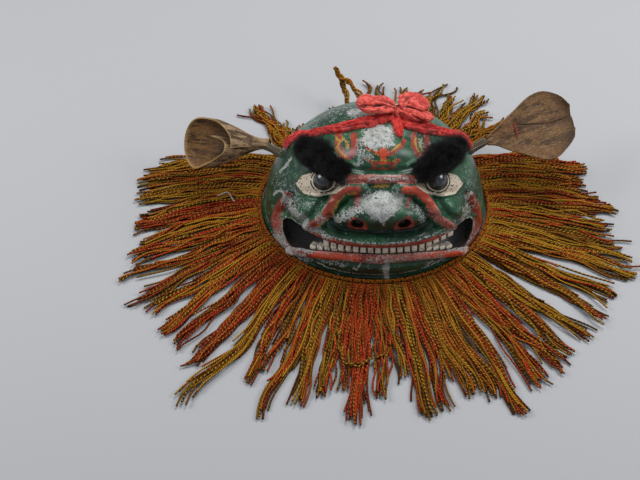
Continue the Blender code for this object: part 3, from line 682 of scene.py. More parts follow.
def lacquer():
    """Green lacquer over chalk with red, cream and gold paint, chipped and rubbed, with painted shade and
    sheen.
    """
    paint = Finish("worn_lacquer")
    grain = paint.noise(430, 3.0, 0.7)
    patchy = paint.noise(110, 3.0, 0.6)
    broad = paint.noise(24, 2.0)
    wobble = (grain - 0.5) * 7.0 + (patchy - 0.5) * 4.0
    green = paint.mix(DEEP_GREEN, GREEN, paint.step(broad + patchy * 0.5, 0.60, 0.95))
    green = paint.mix(green, FADED_GREEN, paint.step(grain * 0.4 + patchy * 0.7, 0.56, 0.72) * 0.55)
    # Grime, and painted shade under the nose and round the chin
    green = paint.mix(green, GRIMY_SHADED_GREEN, paint.field("grime") * 0.92)
    # Greyer where the carving turns away from the face's front: dust, and a painted sheen
    green = paint.mix(green, DUSTY_SHEEN_GREEN, paint.step(0.30 - paint.field("out"), 0.0, 0.6) * 0.45)
    red = paint.mix(DEEP_RED, RED, paint.step(patchy + broad * 0.5, 0.66, 0.90))
    red = paint.mix(red, VIVID_RED, paint.field("bright") * 0.85)
    red = paint.mix(red, PALE_RED, paint.field("pale") * paint.step(grain, 0.42, 0.62) * 0.9)
    red = paint.mix(red, GRIMY_RED, paint.step(grain, 0.46, 0.36) * 0.6)
    red_share = paint.step(paint.field("red") + wobble, -0.30, 0.30) * paint.step(grain, 0.32, 0.40)
    colour = paint.mix(green, red, red_share)
    gold = paint.step(paint.field("gold") + wobble * 1.2, -0.3, 0.4)
    colour = paint.mix(colour, GOLD, gold * 0.9)
    specks = paint.step(paint.noise(430, 0.0), 0.69, 0.72)
    cream = paint.mix(CREAM, CREAM_SPECK, specks)
    cream = paint.mix(cream, OLD_CREAM, paint.step(patchy, 0.52, 0.80) * 0.5)
    eye = paint.field("cream")
    near = paint.field("eye")
    colour = paint.mix(colour, cream, paint.step(eye + wobble * 0.3, -0.2, 0.3))
    ring = paint.step(near, 13.9, 13.3)
    arc = paint.step(paint.math("ABSOLUTE", near - 16.5), 1.3, 0.8) * paint.step(patchy, 0.38, 0.42)
    line = paint.step(paint.math("ABSOLUTE", near - 15.4), 0.35, 0.15) * 0.25
    dark = paint.math("MAXIMUM", ring, paint.math("MAXIMUM", arc, line) * paint.step(eye, 0.0, 0.4))
    colour = paint.mix(colour, EYE_BLACK, dark)
    worn = grain * 0.72 + patchy * 0.28 + paint.field("lost") * 0.235 - paint.field("hollow") * 0.012
    worn = worn - paint.step(eye, -0.3, 0.8) * 0.08
    chips = paint.step(worn, 0.615, 0.635) * paint.step(near, 13.0, 14.0)
    chalk = paint.mix(CHALK, GREY_CHALK, paint.step(patchy, 0.42, 0.62))
    holes = paint.step(paint.noise(500, 1.0), 0.625, 0.66)
    chalk = paint.mix(chalk, CHALK_PIT, holes * 0.85)
    colour = paint.mix(colour, chalk, chips)
    # Painted shade, with grime, in the carving's hollows
    crevice_grime_and_shade = paint.step(paint.field("hollow"), 0.6, 2.4)
    colour = paint.mix(colour, CREVICE_GRIME_AND_SHADE, crevice_grime_and_shade * 0.7)
    # The cut walls are painted near black: painted shade down the mouth and nostrils
    cut = paint.step(paint.field("depth"), 0.4, 1.0)
    # Inside, the old wood is painted darker still: painted shade in the hollow head
    wood_grain = paint.noise(60, 4.0, 0.6, paint.stretched((8, 1, 1)))
    shaded_wood = paint.mix(SHADED_OLD_WOOD, SHADED_WOOD, wood_grain)
    inside = paint.step(paint.field("depth"), 6.0, 7.0)
    colour = paint.mix(colour, CUT_SHADE_BROWN, cut)
    colour = paint.mix(colour, shaded_wood, inside)
    roughness = 0.30 + chips * 0.45 + patchy * 0.16 + cut * 0.2
    height = grain * 0.10 + patchy * 0.10 - chips * 0.35
    return paint.done(colour, roughness, height, 0.0006, 0.8, {"Coat Weight": 0.2, "Coat Roughness": 0.25})


def carved_mask():
    """The wall: carved outside, plain inside, flat at the rim, cut for the mouth, eyes and nostrils."""
    points, faces = [], []
    for count, outer in ((OUTER_GRID, True), (INNER_GRID, False)):
        nx, ny, nz = (v.ravel() for v in disc_grid(count))
        nz = np.where(nz < 1e-9, 0, nz)
        lift = relief(nx, ny, nz) if outer else np.full(nx.shape, -WALL)
        base, n = len(points), count + 1
        points += dome_points(nx, ny, nz, lift).tolist()
        corner = (base + np.arange(count)[:, None] * n + np.arange(count)[None, :]).ravel()
        turn = (0, 1, n + 1, n) if outer else (0, n, n + 1, 1)
        faces += np.stack([corner + k for k in turn], -1).tolist()
    outside, inside = rim_of(OUTER_GRID), [(OUTER_GRID + 1) ** 2 + i for i in rim_of(INNER_GRID)]
    step = OUTER_GRID // INNER_GRID
    for i, here in enumerate(inside):
        after = inside[(i + 1) % len(inside)]
        ring = [outside[(step * i + k) % len(outside)] for k in range(step + 1)]
        faces += [(a, here, b) for a, b in zip(ring[:2], ring[1:3])]
        faces += [(here, after, ring[2])] + [(a, after, b) for a, b in zip(ring[2:], ring[3:])]
    mask = solid("mask", points, faces)
    rings = []
    for across in np.linspace(-MOUTH[-1][0], MOUTH[-1][0], 97):
        lower, upper = mouth_edges(across)
        rings.append([
            on_dome(across, lower, RELIEF + WALL), on_dome(across, upper, RELIEF + WALL),
            on_dome(across, upper, -2 * WALL), on_dome(across, lower, -2 * WALL),
        ])
    points, faces = lofted(rings)
    radius = PUPIL_RADIUS + GAP
    seat = [(radius, radius, -PUPIL_SEAT), (radius, radius, RELIEF)]
    nostril = [
        (NOSTRIL_WIDTH / 2 * share, NOSTRIL_HEIGHT / 2 * share, far)
        for share, far in ((0.7, -NOSTRIL_DEPTH), (1, 0), (1.6, NOSTRIL_DEPTH))
    ]
    for side in (-1, 1):
        more = [disc_rings(*frame_at(side * EYE[0], EYE[1]), seat, 40)]
        place, right, up, out = frame_at(side * NOSTRIL[0], NOSTRIL[1])
        out = (out - up * 0.35).normalized()
        more.append(disc_rings(place, right, up, out, nostril, 28))
        for rings in more:
            new_points, new_faces = lofted(rings, len(points))
            points, faces = points + new_points, faces + new_faces
    tool = solid("mask_tool", points, faces)
    modifier = mask.modifiers.new("cut", "BOOLEAN")
    modifier.operation, modifier.solver, modifier.object = "DIFFERENCE", "EXACT", tool
    depsgraph = bpy.context.evaluated_depsgraph_get()
    mesh = bpy.data.meshes.new_from_object(mask.evaluated_get(depsgraph))
    mask.modifiers.clear()
    mask.data = mesh
    bpy.data.objects.remove(tool)
    mask_paint(mesh)
    mesh.materials.clear()
    mesh.materials.append(lacquer())
    mesh.shade_smooth()
    mesh.set_sharp_from_angle(angle=math.radians(50))
    return mask


mask = carved_mask()
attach(mask, "root")
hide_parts("mask_shell")

# The teeth
# Two rows of square teeth carved in the gap between the lips and painted cream, each row on its own bar. They
# meet along the middle and part a little towards the right corner.
TEETH_DEPTH = 0.010
TEETH_PROUD = 0.004
TOOTH_WIDTH = 0.0088
UPPER_TEETH = (-0.48, 0.63)
LOWER_TEETH = (-0.60, 0.64)
TEETH_UNDER_LIP = 0.004
TEETH_IN_LIP = 0.006
LOWER_TEETH_BACK = 0.0020
GAP_SHADE_RED = (0.085, 0.016, 0.012, 1)
TOOTH_CREAM = (0.740, 0.660, 0.520, 1)
PALE_TOOTH = (0.850, 0.790, 0.670, 1)
BROWN_STAIN = (0.300, 0.180, 0.120, 1)
GREY_STAIN = (0.180, 0.170, 0.150, 1)
# Across the mouth, and how tall a tooth is there
UPPER_TALL = ((-0.45, -0.20, 0.15, 0.34, 0.60), (0.082, 0.058, 0.055, 0.056, 0.064))
LOWER_TALL = ((-0.50, -0.30, 0.10, 0.40, 0.60), (0.034, 0.046, 0.046, 0.034, 0.030))


def grown(name, mesh, tree, values=()):
    """Runs geometry nodes on a mesh and keeps what they make as a plain mesh object."""
    seed = placed(name + "_seed", mesh)
    modifier = seed.modifiers.new("grow", "NODES")
    modifier.node_group = tree
    for item in tree.interface.items_tree:
        if item.in_out == "INPUT" and item.name in dict(values):
            modifier[item.identifier] = dict(values)[item.name]
    depsgraph = bpy.context.evaluated_depsgraph_get()
    result = bpy.data.meshes.new_from_object(
        seed.evaluated_get(depsgraph), preserve_all_data_layers=True, depsgraph=depsgraph
    )
    bpy.data.objects.remove(seed)
    result.name = name
    return placed(name, result)


def new_tree(name, sockets):
    """A geometry node tree with named inputs: name, socket type, starting value."""
    tree = bpy.data.node_groups.new(name, "GeometryNodeTree")
    tree.interface.new_socket("Geometry", in_out="INPUT", socket_type="NodeSocketGeometry")
    tree.interface.new_socket("Geometry", in_out="OUTPUT", socket_type="NodeSocketGeometry")
    for label, kind, start in sockets:
        made = tree.interface.new_socket(label, in_out="INPUT", socket_type=kind)
        made.default_value = start
    return Nodes(tree)


def named(nodes, kind, name):
    return nodes.add("GeometryNodeInputNamedAttribute", {"data_type": kind}, {"Name": name})


def scatter_tree(name, pattern, finish):
    """Sets one pattern on every point of a mesh, turned and sized by the points' own values."""
    nodes = new_tree(name, (("Size", "NodeSocketFloat", 1.0),))
    points = nodes.add("NodeGroupInput", out="Geometry")
    size = nodes.add("NodeGroupInput", out="Size")
    sockets = {0: named(nodes, "FLOAT_VECTOR", "size"), "Scale": size}
    scale = nodes.add("ShaderNodeVectorMath", {"operation": "SCALE"}, sockets)
    sockets = {
        "Points": nodes.add("GeometryNodeMeshToPoints", (), {"Mesh": points}),
        "Instance": pattern(nodes),
        "Rotation": named(nodes, "FLOAT_VECTOR", "turn"),
        "Scale": scale,
    }
    copies = nodes.add("GeometryNodeInstanceOnPoints", (), sockets)
    real = nodes.add("GeometryNodeRealizeInstances", (), {"Geometry": copies})
    dressed = nodes.add("GeometryNodeSetMaterial", (), {"Geometry": real, "Material": finish})
    nodes.add("NodeGroupOutput", (), {"Geometry": dressed})
    return nodes.tree


def points_mesh(name, places, turns, sizes, tones):
    """A mesh of loose points that carry a turn, a size and a tone each."""
    mesh = bpy.data.meshes.new(name)
    mesh.from_pydata([tuple(p) for p in places], [], [])
    for label, values in (("turn", turns), ("size", sizes)):
        data = mesh.attributes.new(label, "FLOAT_VECTOR", "POINT").data
        data.foreach_set("vector", np.array([tuple(v) for v in values], np.float32).ravel())
    mesh.attributes.new("tone", "FLOAT", "POINT").data.foreach_set("value", np.array(tones, np.float32))
    return mesh


def axes_turn(right, up, out):
    """The turn that lays a pattern's own axes along three directions."""
    return Matrix((right, up, out)).transposed().to_euler()


def tooth_paint():
    """Cream paint, stained brown and grey, with the bar's dark red in painted shade at each tooth's sides."""
    paint = Finish("tooth_cream")
    grain = paint.noise(500, 3.0)
    patchy = paint.noise(120, 2.0)
    colour = paint.mix(TOOTH_CREAM, PALE_TOOTH, paint.field("tone"))
    colour = paint.mix(colour, BROWN_STAIN, paint.step(grain, 0.55, 0.66) * 0.6)
    colour = paint.mix(colour, GREY_STAIN, paint.step(patchy, 0.58, 0.68) * 0.6)
    x, y, _ = paint.parts(paint.add("ShaderNodeAttribute", {"attribute_name": "local"}, out="Vector"))
    # Dark red on the tooth's sides and ends: the red between the teeth, in painted shade
    edge = paint.step(paint.math("ABSOLUTE", x), 0.36, 0.47)
    edge = paint.math("MAXIMUM", edge, paint.step(paint.math("ABSOLUTE", y), 0.45, 0.50) * 0.35)
    colour = paint.mix(colour, GAP_SHADE_RED, edge * 0.92)
    return paint.done(colour, 0.38 + grain * 0.3, grain, 0.0003, 0.5)


def tooth_pattern(nodes):
    """A block of one unit with barely rounded edges, which keeps its own coordinates."""
    block = nodes.add("GeometryNodeMeshCube", (), {"Size": (1, 1, 1)}, out="Mesh")
    block = nodes.add("GeometryNodeSubdivisionSurface", (), {"Mesh": block, "Level": 2, "Edge Crease": 0.94})
    return nodes.add(
        "GeometryNodeStoreNamedAttribute", {"data_type": "FLOAT_VECTOR", "domain": "POINT"},
        {"Geometry": block, "Name": "local", "Value": nodes.add("GeometryNodeInputPosition")},
    )


TOOTH_TREE = scatter_tree("tooth_row", tooth_pattern, tooth_paint())
chance = random.Random(4)
for name, span, upper in (("teeth_upper", UPPER_TEETH, True), ("teeth_lower", LOWER_TEETH, False)):
    places, turns, sizes, tones = [], [], [], []
    count = round((span[1] - span[0]) * SHARE / TOOTH_WIDTH)
    for i in range(count):
        across = span[0] + (span[1] - span[0]) * (i + 0.5) / count
        lower, top = mouth_edges(across)
        tall = float(np.interp(across, *UPPER_TALL if upper else LOWER_TALL))
        bottom = top + TEETH_UNDER_LIP - tall if upper else lower - TEETH_IN_LIP
        top = bottom + tall
        here = on_dome(across, (bottom + top) / 2, 0)
        out = (on_dome(across, (bottom + top) / 2, 0.01) - here).normalized()
        rise = on_dome(across, top, 0) - on_dome(across, bottom, 0)
        tall, rise = rise.length, rise.normalized()
        right = rise.cross(out).normalized()
        out = right.cross(rise)
        front = TEETH_PROUD + chance.uniform(-0.0005, 0.0002) - (0.0 if upper else LOWER_TEETH_BACK)
        places.append(here + out * (front - TEETH_DEPTH / 2))
        turns.append(axes_turn(right, rise, out))
        wide = (on_dome(across + 0.01, bottom, 0) - on_dome(across, bottom, 0)).length * 100
        wide *= (span[1] - span[0]) / count
        sizes.append((wide * chance.uniform(0.85, 0.91), tall * chance.uniform(0.93, 1.0), TEETH_DEPTH))
        tones.append(chance.random())
    row = grown(name + "_row", points_mesh(name, places, turns, sizes, tones), TOOTH_TREE)
    row.data.shade_smooth()
    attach(row, "root")
    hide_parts(name)

# The pupils
# Two turned domes of dark lacquer, as glossy as glass, each pressed into its seat in the carved eye.
PUPIL_RISE = 0.0075
PUPIL_EDGE = 0.0006
PUPIL_SIDES = 40
PUPIL_STEPS = 12
PUPIL_GREY = (0.014, 0.015, 0.017, 1)
PUPIL_CLOUD = (0.080, 0.086, 0.095, 1)
PUPIL_RIM = (0.003, 0.003, 0.003, 1)


def eye_gloss():
    """Grey in the middle and black round the rim, as glossy as glass."""
    paint = Finish("eye_gloss")
    mottled = paint.noise(260, 3.0)
    colour = paint.mix(PUPIL_GREY, PUPIL_CLOUD, paint.step(mottled, 0.35, 0.75))
    colour = paint.mix(colour, PUPIL_RIM, paint.step(paint.field("rim"), 0.76, 0.86))
    coat = {"Coat Weight": 0.6, "Coat Roughness": 0.05}
    return paint.done(colour, 0.10 + mottled * 0.12, mottled, 0.0002, 0.2, coat)


GLOSS = eye_gloss()
for side, word in ((-1, "left"), (1, "right")):
    shape = [(PUPIL_RADIUS * 0.05, PUPIL_RADIUS * 0.05, GAP - PUPIL_SEAT)]
    shape += [(PUPIL_RADIUS, PUPIL_RADIUS, far) for far in (GAP - PUPIL_SEAT, PUPIL_EDGE)]
    for k in range(1, PUPIL_STEPS + 1):
        turn = math.pi / 2 * k / (PUPIL_STEPS + 0.4)
        radius = PUPIL_RADIUS * math.cos(turn)
        shape.append((radius, radius, PUPIL_EDGE + (PUPIL_RISE - PUPIL_EDGE) * math.sin(turn)))
    points, faces = lofted(disc_rings(*frame_at(side * EYE[0], EYE[1]), shape, PUPIL_SIDES))
    dome = solid("pupil_dome_" + word, points, faces, GLOSS, smooth=50)
    rims = np.repeat([min(wide / PUPIL_RADIUS, 1.0) for wide, _, _ in shape], PUPIL_SIDES)
    dome.data.attributes.new("rim", "FLOAT", "POINT").data.foreach_set("value", rims.astype(np.float32))
    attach(dome, "root")
    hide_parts("pupil_" + word)

# The fur brows
# Two strips of black fur on their skin, glued slanting over the eyes. The hair is short, soft and tangled.
HAIR_LENGTH = 0.0125
HAIR_RADIUS = 0.00021
HAIR_ROOT = 0.001
HAIRS = 20000
TUFTS_PER_METRE = 130
BROW_MIDDLE = (0.46, 0.40)
SLANT = 1.4
HAIR_BLACK = (0.005, 0.005, 0.006, 1)
HAIR_GREY = (0.034, 0.032, 0.036, 1)


def fur_black():
    """Dull black, with greyer hairs here and there."""
    paint = Finish("fur_black")
    patchy = paint.noise(140, 2.0)
    colour = paint.mix(HAIR_BLACK, HAIR_GREY, paint.field("tone") * patchy * 1.7)
    return paint.done(colour, 0.62 + patchy * 0.2)


def hair_pattern(nodes):
    """One hair: a sharp cone with three sides."""
    sockets = {"Vertices": 3, "Side Segments": 1, "Radius Top": 0.0, "Radius Bottom": 1.0, "Depth": 1.0}
    return nodes.add("GeometryNodeMeshCone", {"fill_type": "NONE"}, sockets, out="Mesh")


def merged_copy(node):
    """A copy of the skin that the hairs stand on, with its triangles joined at their corners."""
    work = bmesh.new()
    work.from_mesh(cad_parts[node].data)
    bmesh.ops.remove_doubles(work, verts=work.verts, dist=1e-6)
    bmesh.ops.recalc_face_normals(work, faces=work.faces)
    mesh = bpy.data.meshes.new(node + "_copy")
    work.to_mesh(mesh)
    work.free()
    return mesh


def joined(name, parts):
    """Several objects as one, each with its own material."""
    with bpy.context.temp_override(active_object=parts[0], selected_editable_objects=parts):
        bpy.ops.object.join()
    parts[0].name = name
    return parts[0]


FUR = fur_black()
HAIR_TREE = scatter_tree("hair_coat", hair_pattern, FUR)
for side, word in ((-1, "left"), (1, "right")):
    skin = merged_copy("brow_" + word)
    draw = np.random.default_rng(11 + side)
    skin.calc_loop_triangles()
    corners = np.array([[skin.vertices[v].co for v in t.vertices] for t in skin.loop_triangles])
    normals = np.cross(corners[:, 1] - corners[:, 0], corners[:, 2] - corners[:, 0])
    areas = np.linalg.norm(normals, axis=1)
    normals /= areas[:, None]
    middle, right, up, out = (np.array(v) for v in frame_at(side * BROW_MIDDLE[0], BROW_MIDDLE[1]))
    areas = np.where(normals @ out > -0.25, areas, 0)
    pick = draw.choice(len(areas), HAIRS, p=areas / areas.sum())
    a, b = draw.random(HAIRS), draw.random(HAIRS)
    a, b = np.where(a + b > 1, 1 - a, a), np.where(a + b > 1, 1 - b, b)
    shares = np.stack([1 - a - b, a, b], -1)[:, :, None]
    first, second, third = (corners[pick, k] * shares[:, k] for k in range(3))
    roots = first + second + third
    away = roots - middle
    near = away @ np.stack([right, up], -1) * TUFTS_PER_METRE + 30
    tuft = np.stack([cloud(near[:, 0], near[:, 1], seed) - 0.5 for seed in (41, 42, 43)], -1)
    inward = (up - right * side) / SLANT
    outward = away @ (right * side + up) / SLANT
    fringe = smooth_step(0.0, 0.012, away @ inward) * smooth_step(-0.012, 0.016, outward)
    aim = normals[pick] * 0.9 + out * 0.30 + tuft * 1.5 + draw.normal(0, 0.42, (HAIRS, 3))
    aim += fringe[:, None] * inward * 0.9
    aim /= np.linalg.norm(aim, axis=1, keepdims=True)
    spread = smooth_step(0.0, 0.035, outward)
    long = HAIR_LENGTH * draw.uniform(0.30, 1.0, HAIRS) * (0.8 + 0.35 * spread + 0.55 * fringe)
    long *= 0.62 + 0.72 * cloud(near[:, 0] * 0.8, near[:, 1] * 0.8, 44)
    turns = [Vector(v).to_track_quat("Z", "Y").to_euler() for v in aim]
    sizes = np.stack([np.full(HAIRS, HAIR_RADIUS), np.full(HAIRS, HAIR_RADIUS), long], -1)
    hairs = points_mesh("hair", roots - aim * HAIR_ROOT, turns, sizes, draw.random(HAIRS))
    skin.materials.append(FUR)
    brow = joined("brow_fur_" + word, [grown("hair", hairs, HAIR_TREE), placed("skin", skin)])
    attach(brow, "root")
    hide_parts("brow_" + word)

# The red cloth
# A strip of thin red cotton, bunched and tied over the crown from ear to ear, with a crumpled bow, a bright
# little tail that has kept its colour, and a pale thread round the knot.
SASH_WIDTH = 0.015
SASH_THICKNESS = 0.0055
KNOT_RADIUS = 0.0085
LOBE_LENGTH = 0.043
LOBE_WIDTH = 0.025
LOBE_HEIGHT = 0.014
TAIL_LENGTH = 0.026
TAIL_WIDTH = 0.015
SASH_LEFT = (
    (0.10, 0.77), (-0.12, 0.73), (-0.30, 0.69), (-0.44, 0.665), (-0.56, 0.640), (-0.68, 0.600),
    (-0.79, 0.530),
)
SASH_RIGHT = (
    (0.15, 0.75), (0.29, 0.695), (0.41, 0.675), (0.53, 0.655), (0.65, 0.620), (0.74, 0.580), (0.80, 0.530),
)
KNOT = (0.13, 0.79)
THREAD_RADIUS = 0.0007
THREAD_FOLD = 9.0
FOLD_SHADE = (0.060, 0.007, 0.009, 1)
CLOTH_SPECK = (0.050, 0.010, 0.010, 1)
THREAD_PALE = (0.780, 0.600, 0.480, 1)


def creased(x, y, seed):
    """Heights with sharp folds, from 0 in a fold to 1 between folds."""
    x = x + 0.5 * cloud(x * 0.7, y * 0.7, seed + 1)
    first = np.abs(2 * cloud(x, y, seed) - 1)
    second = np.abs(2 * cloud(x * 2.3 + 7, y * 2.3 + 3, seed + 2) - 1)
    return np.clip(first * 1.5, 0, 1) ** 0.6 * 0.7 + np.clip(second * 1.5, 0, 1) ** 0.6 * 0.3


def cloth_red(name, shade):
    """Creased cotton in three shades, with painted highlight and shade. A fold value past all folds is the
    pale thread.
    """
    paint = Finish(name)
    crumple = paint.noise(190, 2.0, 0.55)
    patchy = paint.noise(60, 3.0)
    sockets = {"Vector": paint.place, "Scale": 700.0, "Distortion": 3.0}
    weave = paint.add("ShaderNodeTexWave", (), sockets, out="Fac")
    # A painted highlight on the raised crumples, in each cloth's second shade
    colour = paint.mix(shade[0], shade[1], paint.step(crumple, 0.42, 0.60))
    colour = paint.mix(colour, shade[2], paint.step(patchy, 0.53, 0.64) * 0.7)
    fold = paint.field("fold")
    # Painted shade in the folds
    colour = paint.mix(colour, FOLD_SHADE, paint.step(fold + crumple * 0.2, 0.64, 0.37) * 0.95)
    specks = paint.step(paint.noise(480, 1.0), 0.655, 0.69)
    colour = paint.mix(colour, CLOTH_SPECK, specks * 0.8)
    colour = paint.mix(colour, THREAD_PALE, paint.step(fold, 2.0, 3.0))
    height = crumple * 0.5 + weave * 0.08
    return paint.done(colour, 0.80 + patchy * 0.1, height, 0.0008, 0.7, {"Sheen Weight": 0.12})


# Shades of each cloth: its red, a painted highlight, and a worn red
FADED_SHADES = ((0.560, 0.024, 0.020, 1), (0.840, 0.070, 0.055, 1), (0.450, 0.072, 0.068, 1))
BOW_SHADES = ((0.550, 0.042, 0.032, 1), (0.850, 0.130, 0.094, 1), (0.700, 0.084, 0.066, 1))
BRIGHT_SHADES = ((0.640, 0.020, 0.014, 1), (0.820, 0.055, 0.035, 1), (0.700, 0.040, 0.030, 1))
FADED = cloth_red("faded_red_cloth", FADED_SHADES)
BOW_RED = cloth_red("bow_red_cloth", BOW_SHADES)
BRIGHT = cloth_red("bright_red_cloth", BRIGHT_SHADES)


def route(path, count):
    """Evenly spaced frames along a path on the carving: place, along, side and out."""
    line = [on_carving(a, u, 0) for a, u in path]
    run = np.concatenate([[0], np.cumsum([(b - a).length for a, b in zip(line, line[1:])])])
    frames = []
    for i in range(count):
        at = run[-1] * i / (count - 1)
        across, up = (float(np.interp(at, run, [v[k] for v in path])) for k in (0, 1))
        place, _, _, out = frame_at(across, up)
        frames.append((place, out))
    soft = []
    for i in range(count):
        near = (frames[min(max(i + k, 0), count - 1)][0] for k in (-2, -1, 0, 1, 2))
        soft.append(sum(near, Vector()) / 5)
    made = []
    for i, (_, out) in enumerate(frames):
        along = soft[min(i + 1, count - 1)] - soft[max(i - 1, 0)]
        along = (along - out * along.dot(out)).normalized()
        made.append((soft[i], along, out.cross(along), out))
    return made, float(run[-1])


def keep_fold(piece, heights):
    """Keeps how far up a fold each point of a cloth is."""
    data = piece.data.attributes.new("fold", "FLOAT", "POINT").data
    data.foreach_set("value", np.array(heights, np.float32))


def declare_cloth(piece, node, long):
    """Sets the cloth in place of its part, and works out its flat cut from the surface that one side of it
    shows, which nothing keeps.
    """
    piece.data.calc_loop_triangles()
    surface = sum(t.area for t in piece.data.loop_triangles) / 2
    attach(piece, "root")
    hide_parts(node)
    round(surface / long, 3)


def bunched(name, path, stations, half_width, rise, seed, finish):
    """A strip of cloth drawn together lengthwise into soft wandering folds, lying on the carving."""
    frames, long = route(path, stations)
    columns = 56
    rings, heights = [], []
    for i, (place, _, side, out) in enumerate(frames):
        t = i / (stations - 1)
        v = np.linspace(-1, 1, columns)
        at = long * t * 1000
        wide = half_width(t) * (1 + 0.42 * (cloud(np.array(at / 13), np.array(0.5), seed) - 0.5))
        folds = creased(np.full(columns, at / 24.0), v * 2.3 + 0.9 * math.sin(at / 17.0 + seed) + 5, seed)
        crumple = creased(np.full(columns, at / 6.5), v * 2.6 + 9, seed + 5)
        arch = np.clip(1 - np.abs(v) ** 3.2, 0, 1) ** 0.5
        tall = rise(t) * arch * (0.22 + 0.86 * folds + 0.16 * crumple)
        waver = cloud(np.full(columns, at / 4.5), np.sign(v) * 3, seed + 9) - 0.5
        edge = 0.34 * wide * waver * np.abs(v) ** 4
        top = [place + side * float(x * wide + e) + out * float(h + GAP) for x, h, e in zip(v, tall, edge)]
        under = [place + side * float(x * wide * 0.96) + out * 0.0002 for x in v[-2:0:-3]]
        rings.append(top + under)
        heights += list(0.62 * folds + 0.38 * crumple) + [0.5] * len(under)
    points, faces = lofted(rings)
    piece = solid(name, points, faces, finish, smooth=70)
    keep_fold(piece, heights)
    return piece, long


for name, node, path, seed in (
    ("sash_cloth_left", "sash_left", SASH_LEFT, 21), ("sash_cloth_right", "sash_right", SASH_RIGHT, 33),
):
    piece, long = bunched(
        name, path, 150, lambda t: SASH_WIDTH / 2 * (1.02 + 0.10 * math.sin(9 * t) - 0.25 * t * t),
        lambda t: SASH_THICKNESS * (1.12 - 0.2 * t), seed, FADED,
    )
    declare_cloth(piece, node, long)

tail_path = [(KNOT[0] + 0.035 * t, KNOT[1] - 0.02 - TAIL_LENGTH / SHARE * t) for t in (0.0, 0.5, 1.0)]
piece, long = bunched(
    "bow_tail_cloth", tail_path, 44, lambda t: TAIL_WIDTH / 2 * (0.75 + 0.4 * t) * (1 - 0.85 * t ** 3),
    lambda t: SASH_THICKNESS * (1.3 - 0.5 * t), 57, BRIGHT,
)
declare_cloth(piece, "bow_tail", long)


def puffed(name, node, folds_of_it, finish):
    """A crumpled loop of the bow, gathered at the knot and full at its far end, in one fold or two."""
    place, right, up, out = frame_at(*KNOT)
    points, faces, heights = [], [], []
    for heading, rise, long, wide, tall, seed in folds_of_it:
        heading = math.radians(heading)
        along = (right * math.cos(heading) + up * math.sin(heading) + out * rise).normalized()
        side = out.cross(along).normalized()
        over = along.cross(side)
        stations, columns = 76, 100
        rings = []
        turns = np.linspace(0, 2 * math.pi, columns, endpoint=False)
        for i in range(stations):
            t = i / (stations - 1)
            swell = float(smooth_step(-0.42, 0.34, t))
            swell *= (1 - max(0.0, (t - 0.40) / 0.61) ** 2.8) ** 0.5
            gather = np.cos(turns * 7 + 1.5 * np.sin(turns * 2 + seed)) * 0.16 * (1 - t) ** 1.2
            folds = creased(np.cos(turns) * 1.3 + 6 + t, np.sin(turns) * 1.3 + t * 2.4 + 4, seed)
            small = creased(np.cos(turns) * 2.6 + 9, np.sin(turns) * 2.6 + t * 5 + 4, seed + 3)
            shape = 1 + gather + 0.55 * (folds - 0.66) + 0.16 * (small - 0.6)
            bend = 1 + 0.12 * math.sin(6 * t + seed)
            middle = place + out * (SASH_THICKNESS + tall * 0.38) + along * (KNOT_RADIUS * 0.4 + long * t)
            middle = middle + side * 0.0016 * math.sin(5 * t + seed)
            rings.append([
                middle + side * float(wide / 2 * swell * bend * s * math.cos(a))
                + over * float(tall / 2 * swell * s * math.sin(a))
                for s, a in zip(shape, turns)
            ])
            heights += list(0.66 * folds + 0.34 * small + 1.5 * gather)
        new_points, new_faces = lofted(rings, len(points))
        points, faces = points + new_points, faces + new_faces
    piece = solid(name, points, faces, finish, smooth=70)
    keep_fold(piece, heights)
    declare_cloth(piece, node, folds_of_it[0][2])


# The knot, and the pale thread that ties it
KNOT_SIDES = 72
KNOT_RINGS = 40
THREAD_RINGS = 15
place, right, up, out = frame_at(*KNOT)
rings, heights = [], []
turns = np.linspace(0, 2 * math.pi, KNOT_SIDES, endpoint=False)
for k in range(KNOT_RINGS):
    turn = math.pi * (0.06 + 0.88 * k / (KNOT_RINGS - 1))
    around = KNOT_RADIUS * math.sin(turn)
    folds = creased(turns * 1.6 + 2, np.full(KNOT_SIDES, k / 10.0), 71)
    pleats = np.cos(turns * 9 + k / 9) * 0.07
    rings.append([
        place + right * float(around * s * math.cos(a)) + up * float(around * 1.15 * s * math.sin(a))
        + out * (SASH_THICKNESS - KNOT_RADIUS * 0.9 * math.cos(turn))
        for s, a in zip(1 + 0.26 * (folds - 0.6) + pleats, turns)
    ])
    heights += list(folds + pleats * 3)
points, faces = lofted(rings)
rings = []
for k in range(THREAD_RINGS):
    turn = math.radians(-62 + 124 * k / (THREAD_RINGS - 1))
    middle = place + right * 0.0102 * math.sin(turn) + up * (0.0035 + 0.0010 * math.sin(turn * 3))
    middle = middle + out * (SASH_THICKNESS + 0.0088 * math.cos(turn))
    rings.append([middle + (up * math.cos(a) + out * math.sin(a)) * THREAD_RADIUS for a in turns[::9]])
thread_points, thread_faces = lofted(rings, len(points))
knot = solid("bow_knot_cloth", points + thread_points, faces + thread_faces, BOW_RED, smooth=70)
keep_fold(knot, heights + [THREAD_FOLD] * len(thread_points))
declare_cloth(knot, "bow_knot", 2 * KNOT_RADIUS)

# The bow's loops: degrees from the photo's right, rise, length, width, height, seed
LEFT_LOOP = (
    (170, 0.05, LOBE_LENGTH * 1.08, LOBE_WIDTH * 1.16, LOBE_HEIGHT * 1.1, 85),
)
RIGHT_LOOPS = (
    (16, 0.06, LOBE_LENGTH * 0.92, LOBE_WIDTH * 1.22, LOBE_HEIGHT * 1.1, 93),
    (-20, -0.03, LOBE_LENGTH * 0.98, LOBE_WIDTH * 0.80, LOBE_HEIGHT * 0.8, 97),
)
puffed("bow_cloth_left", "bow_lobe_left", LEFT_LOOP, BOW_RED)
puffed("bow_cloth_right", "bow_lobe_right", RIGHT_LOOPS, BOW_RED)

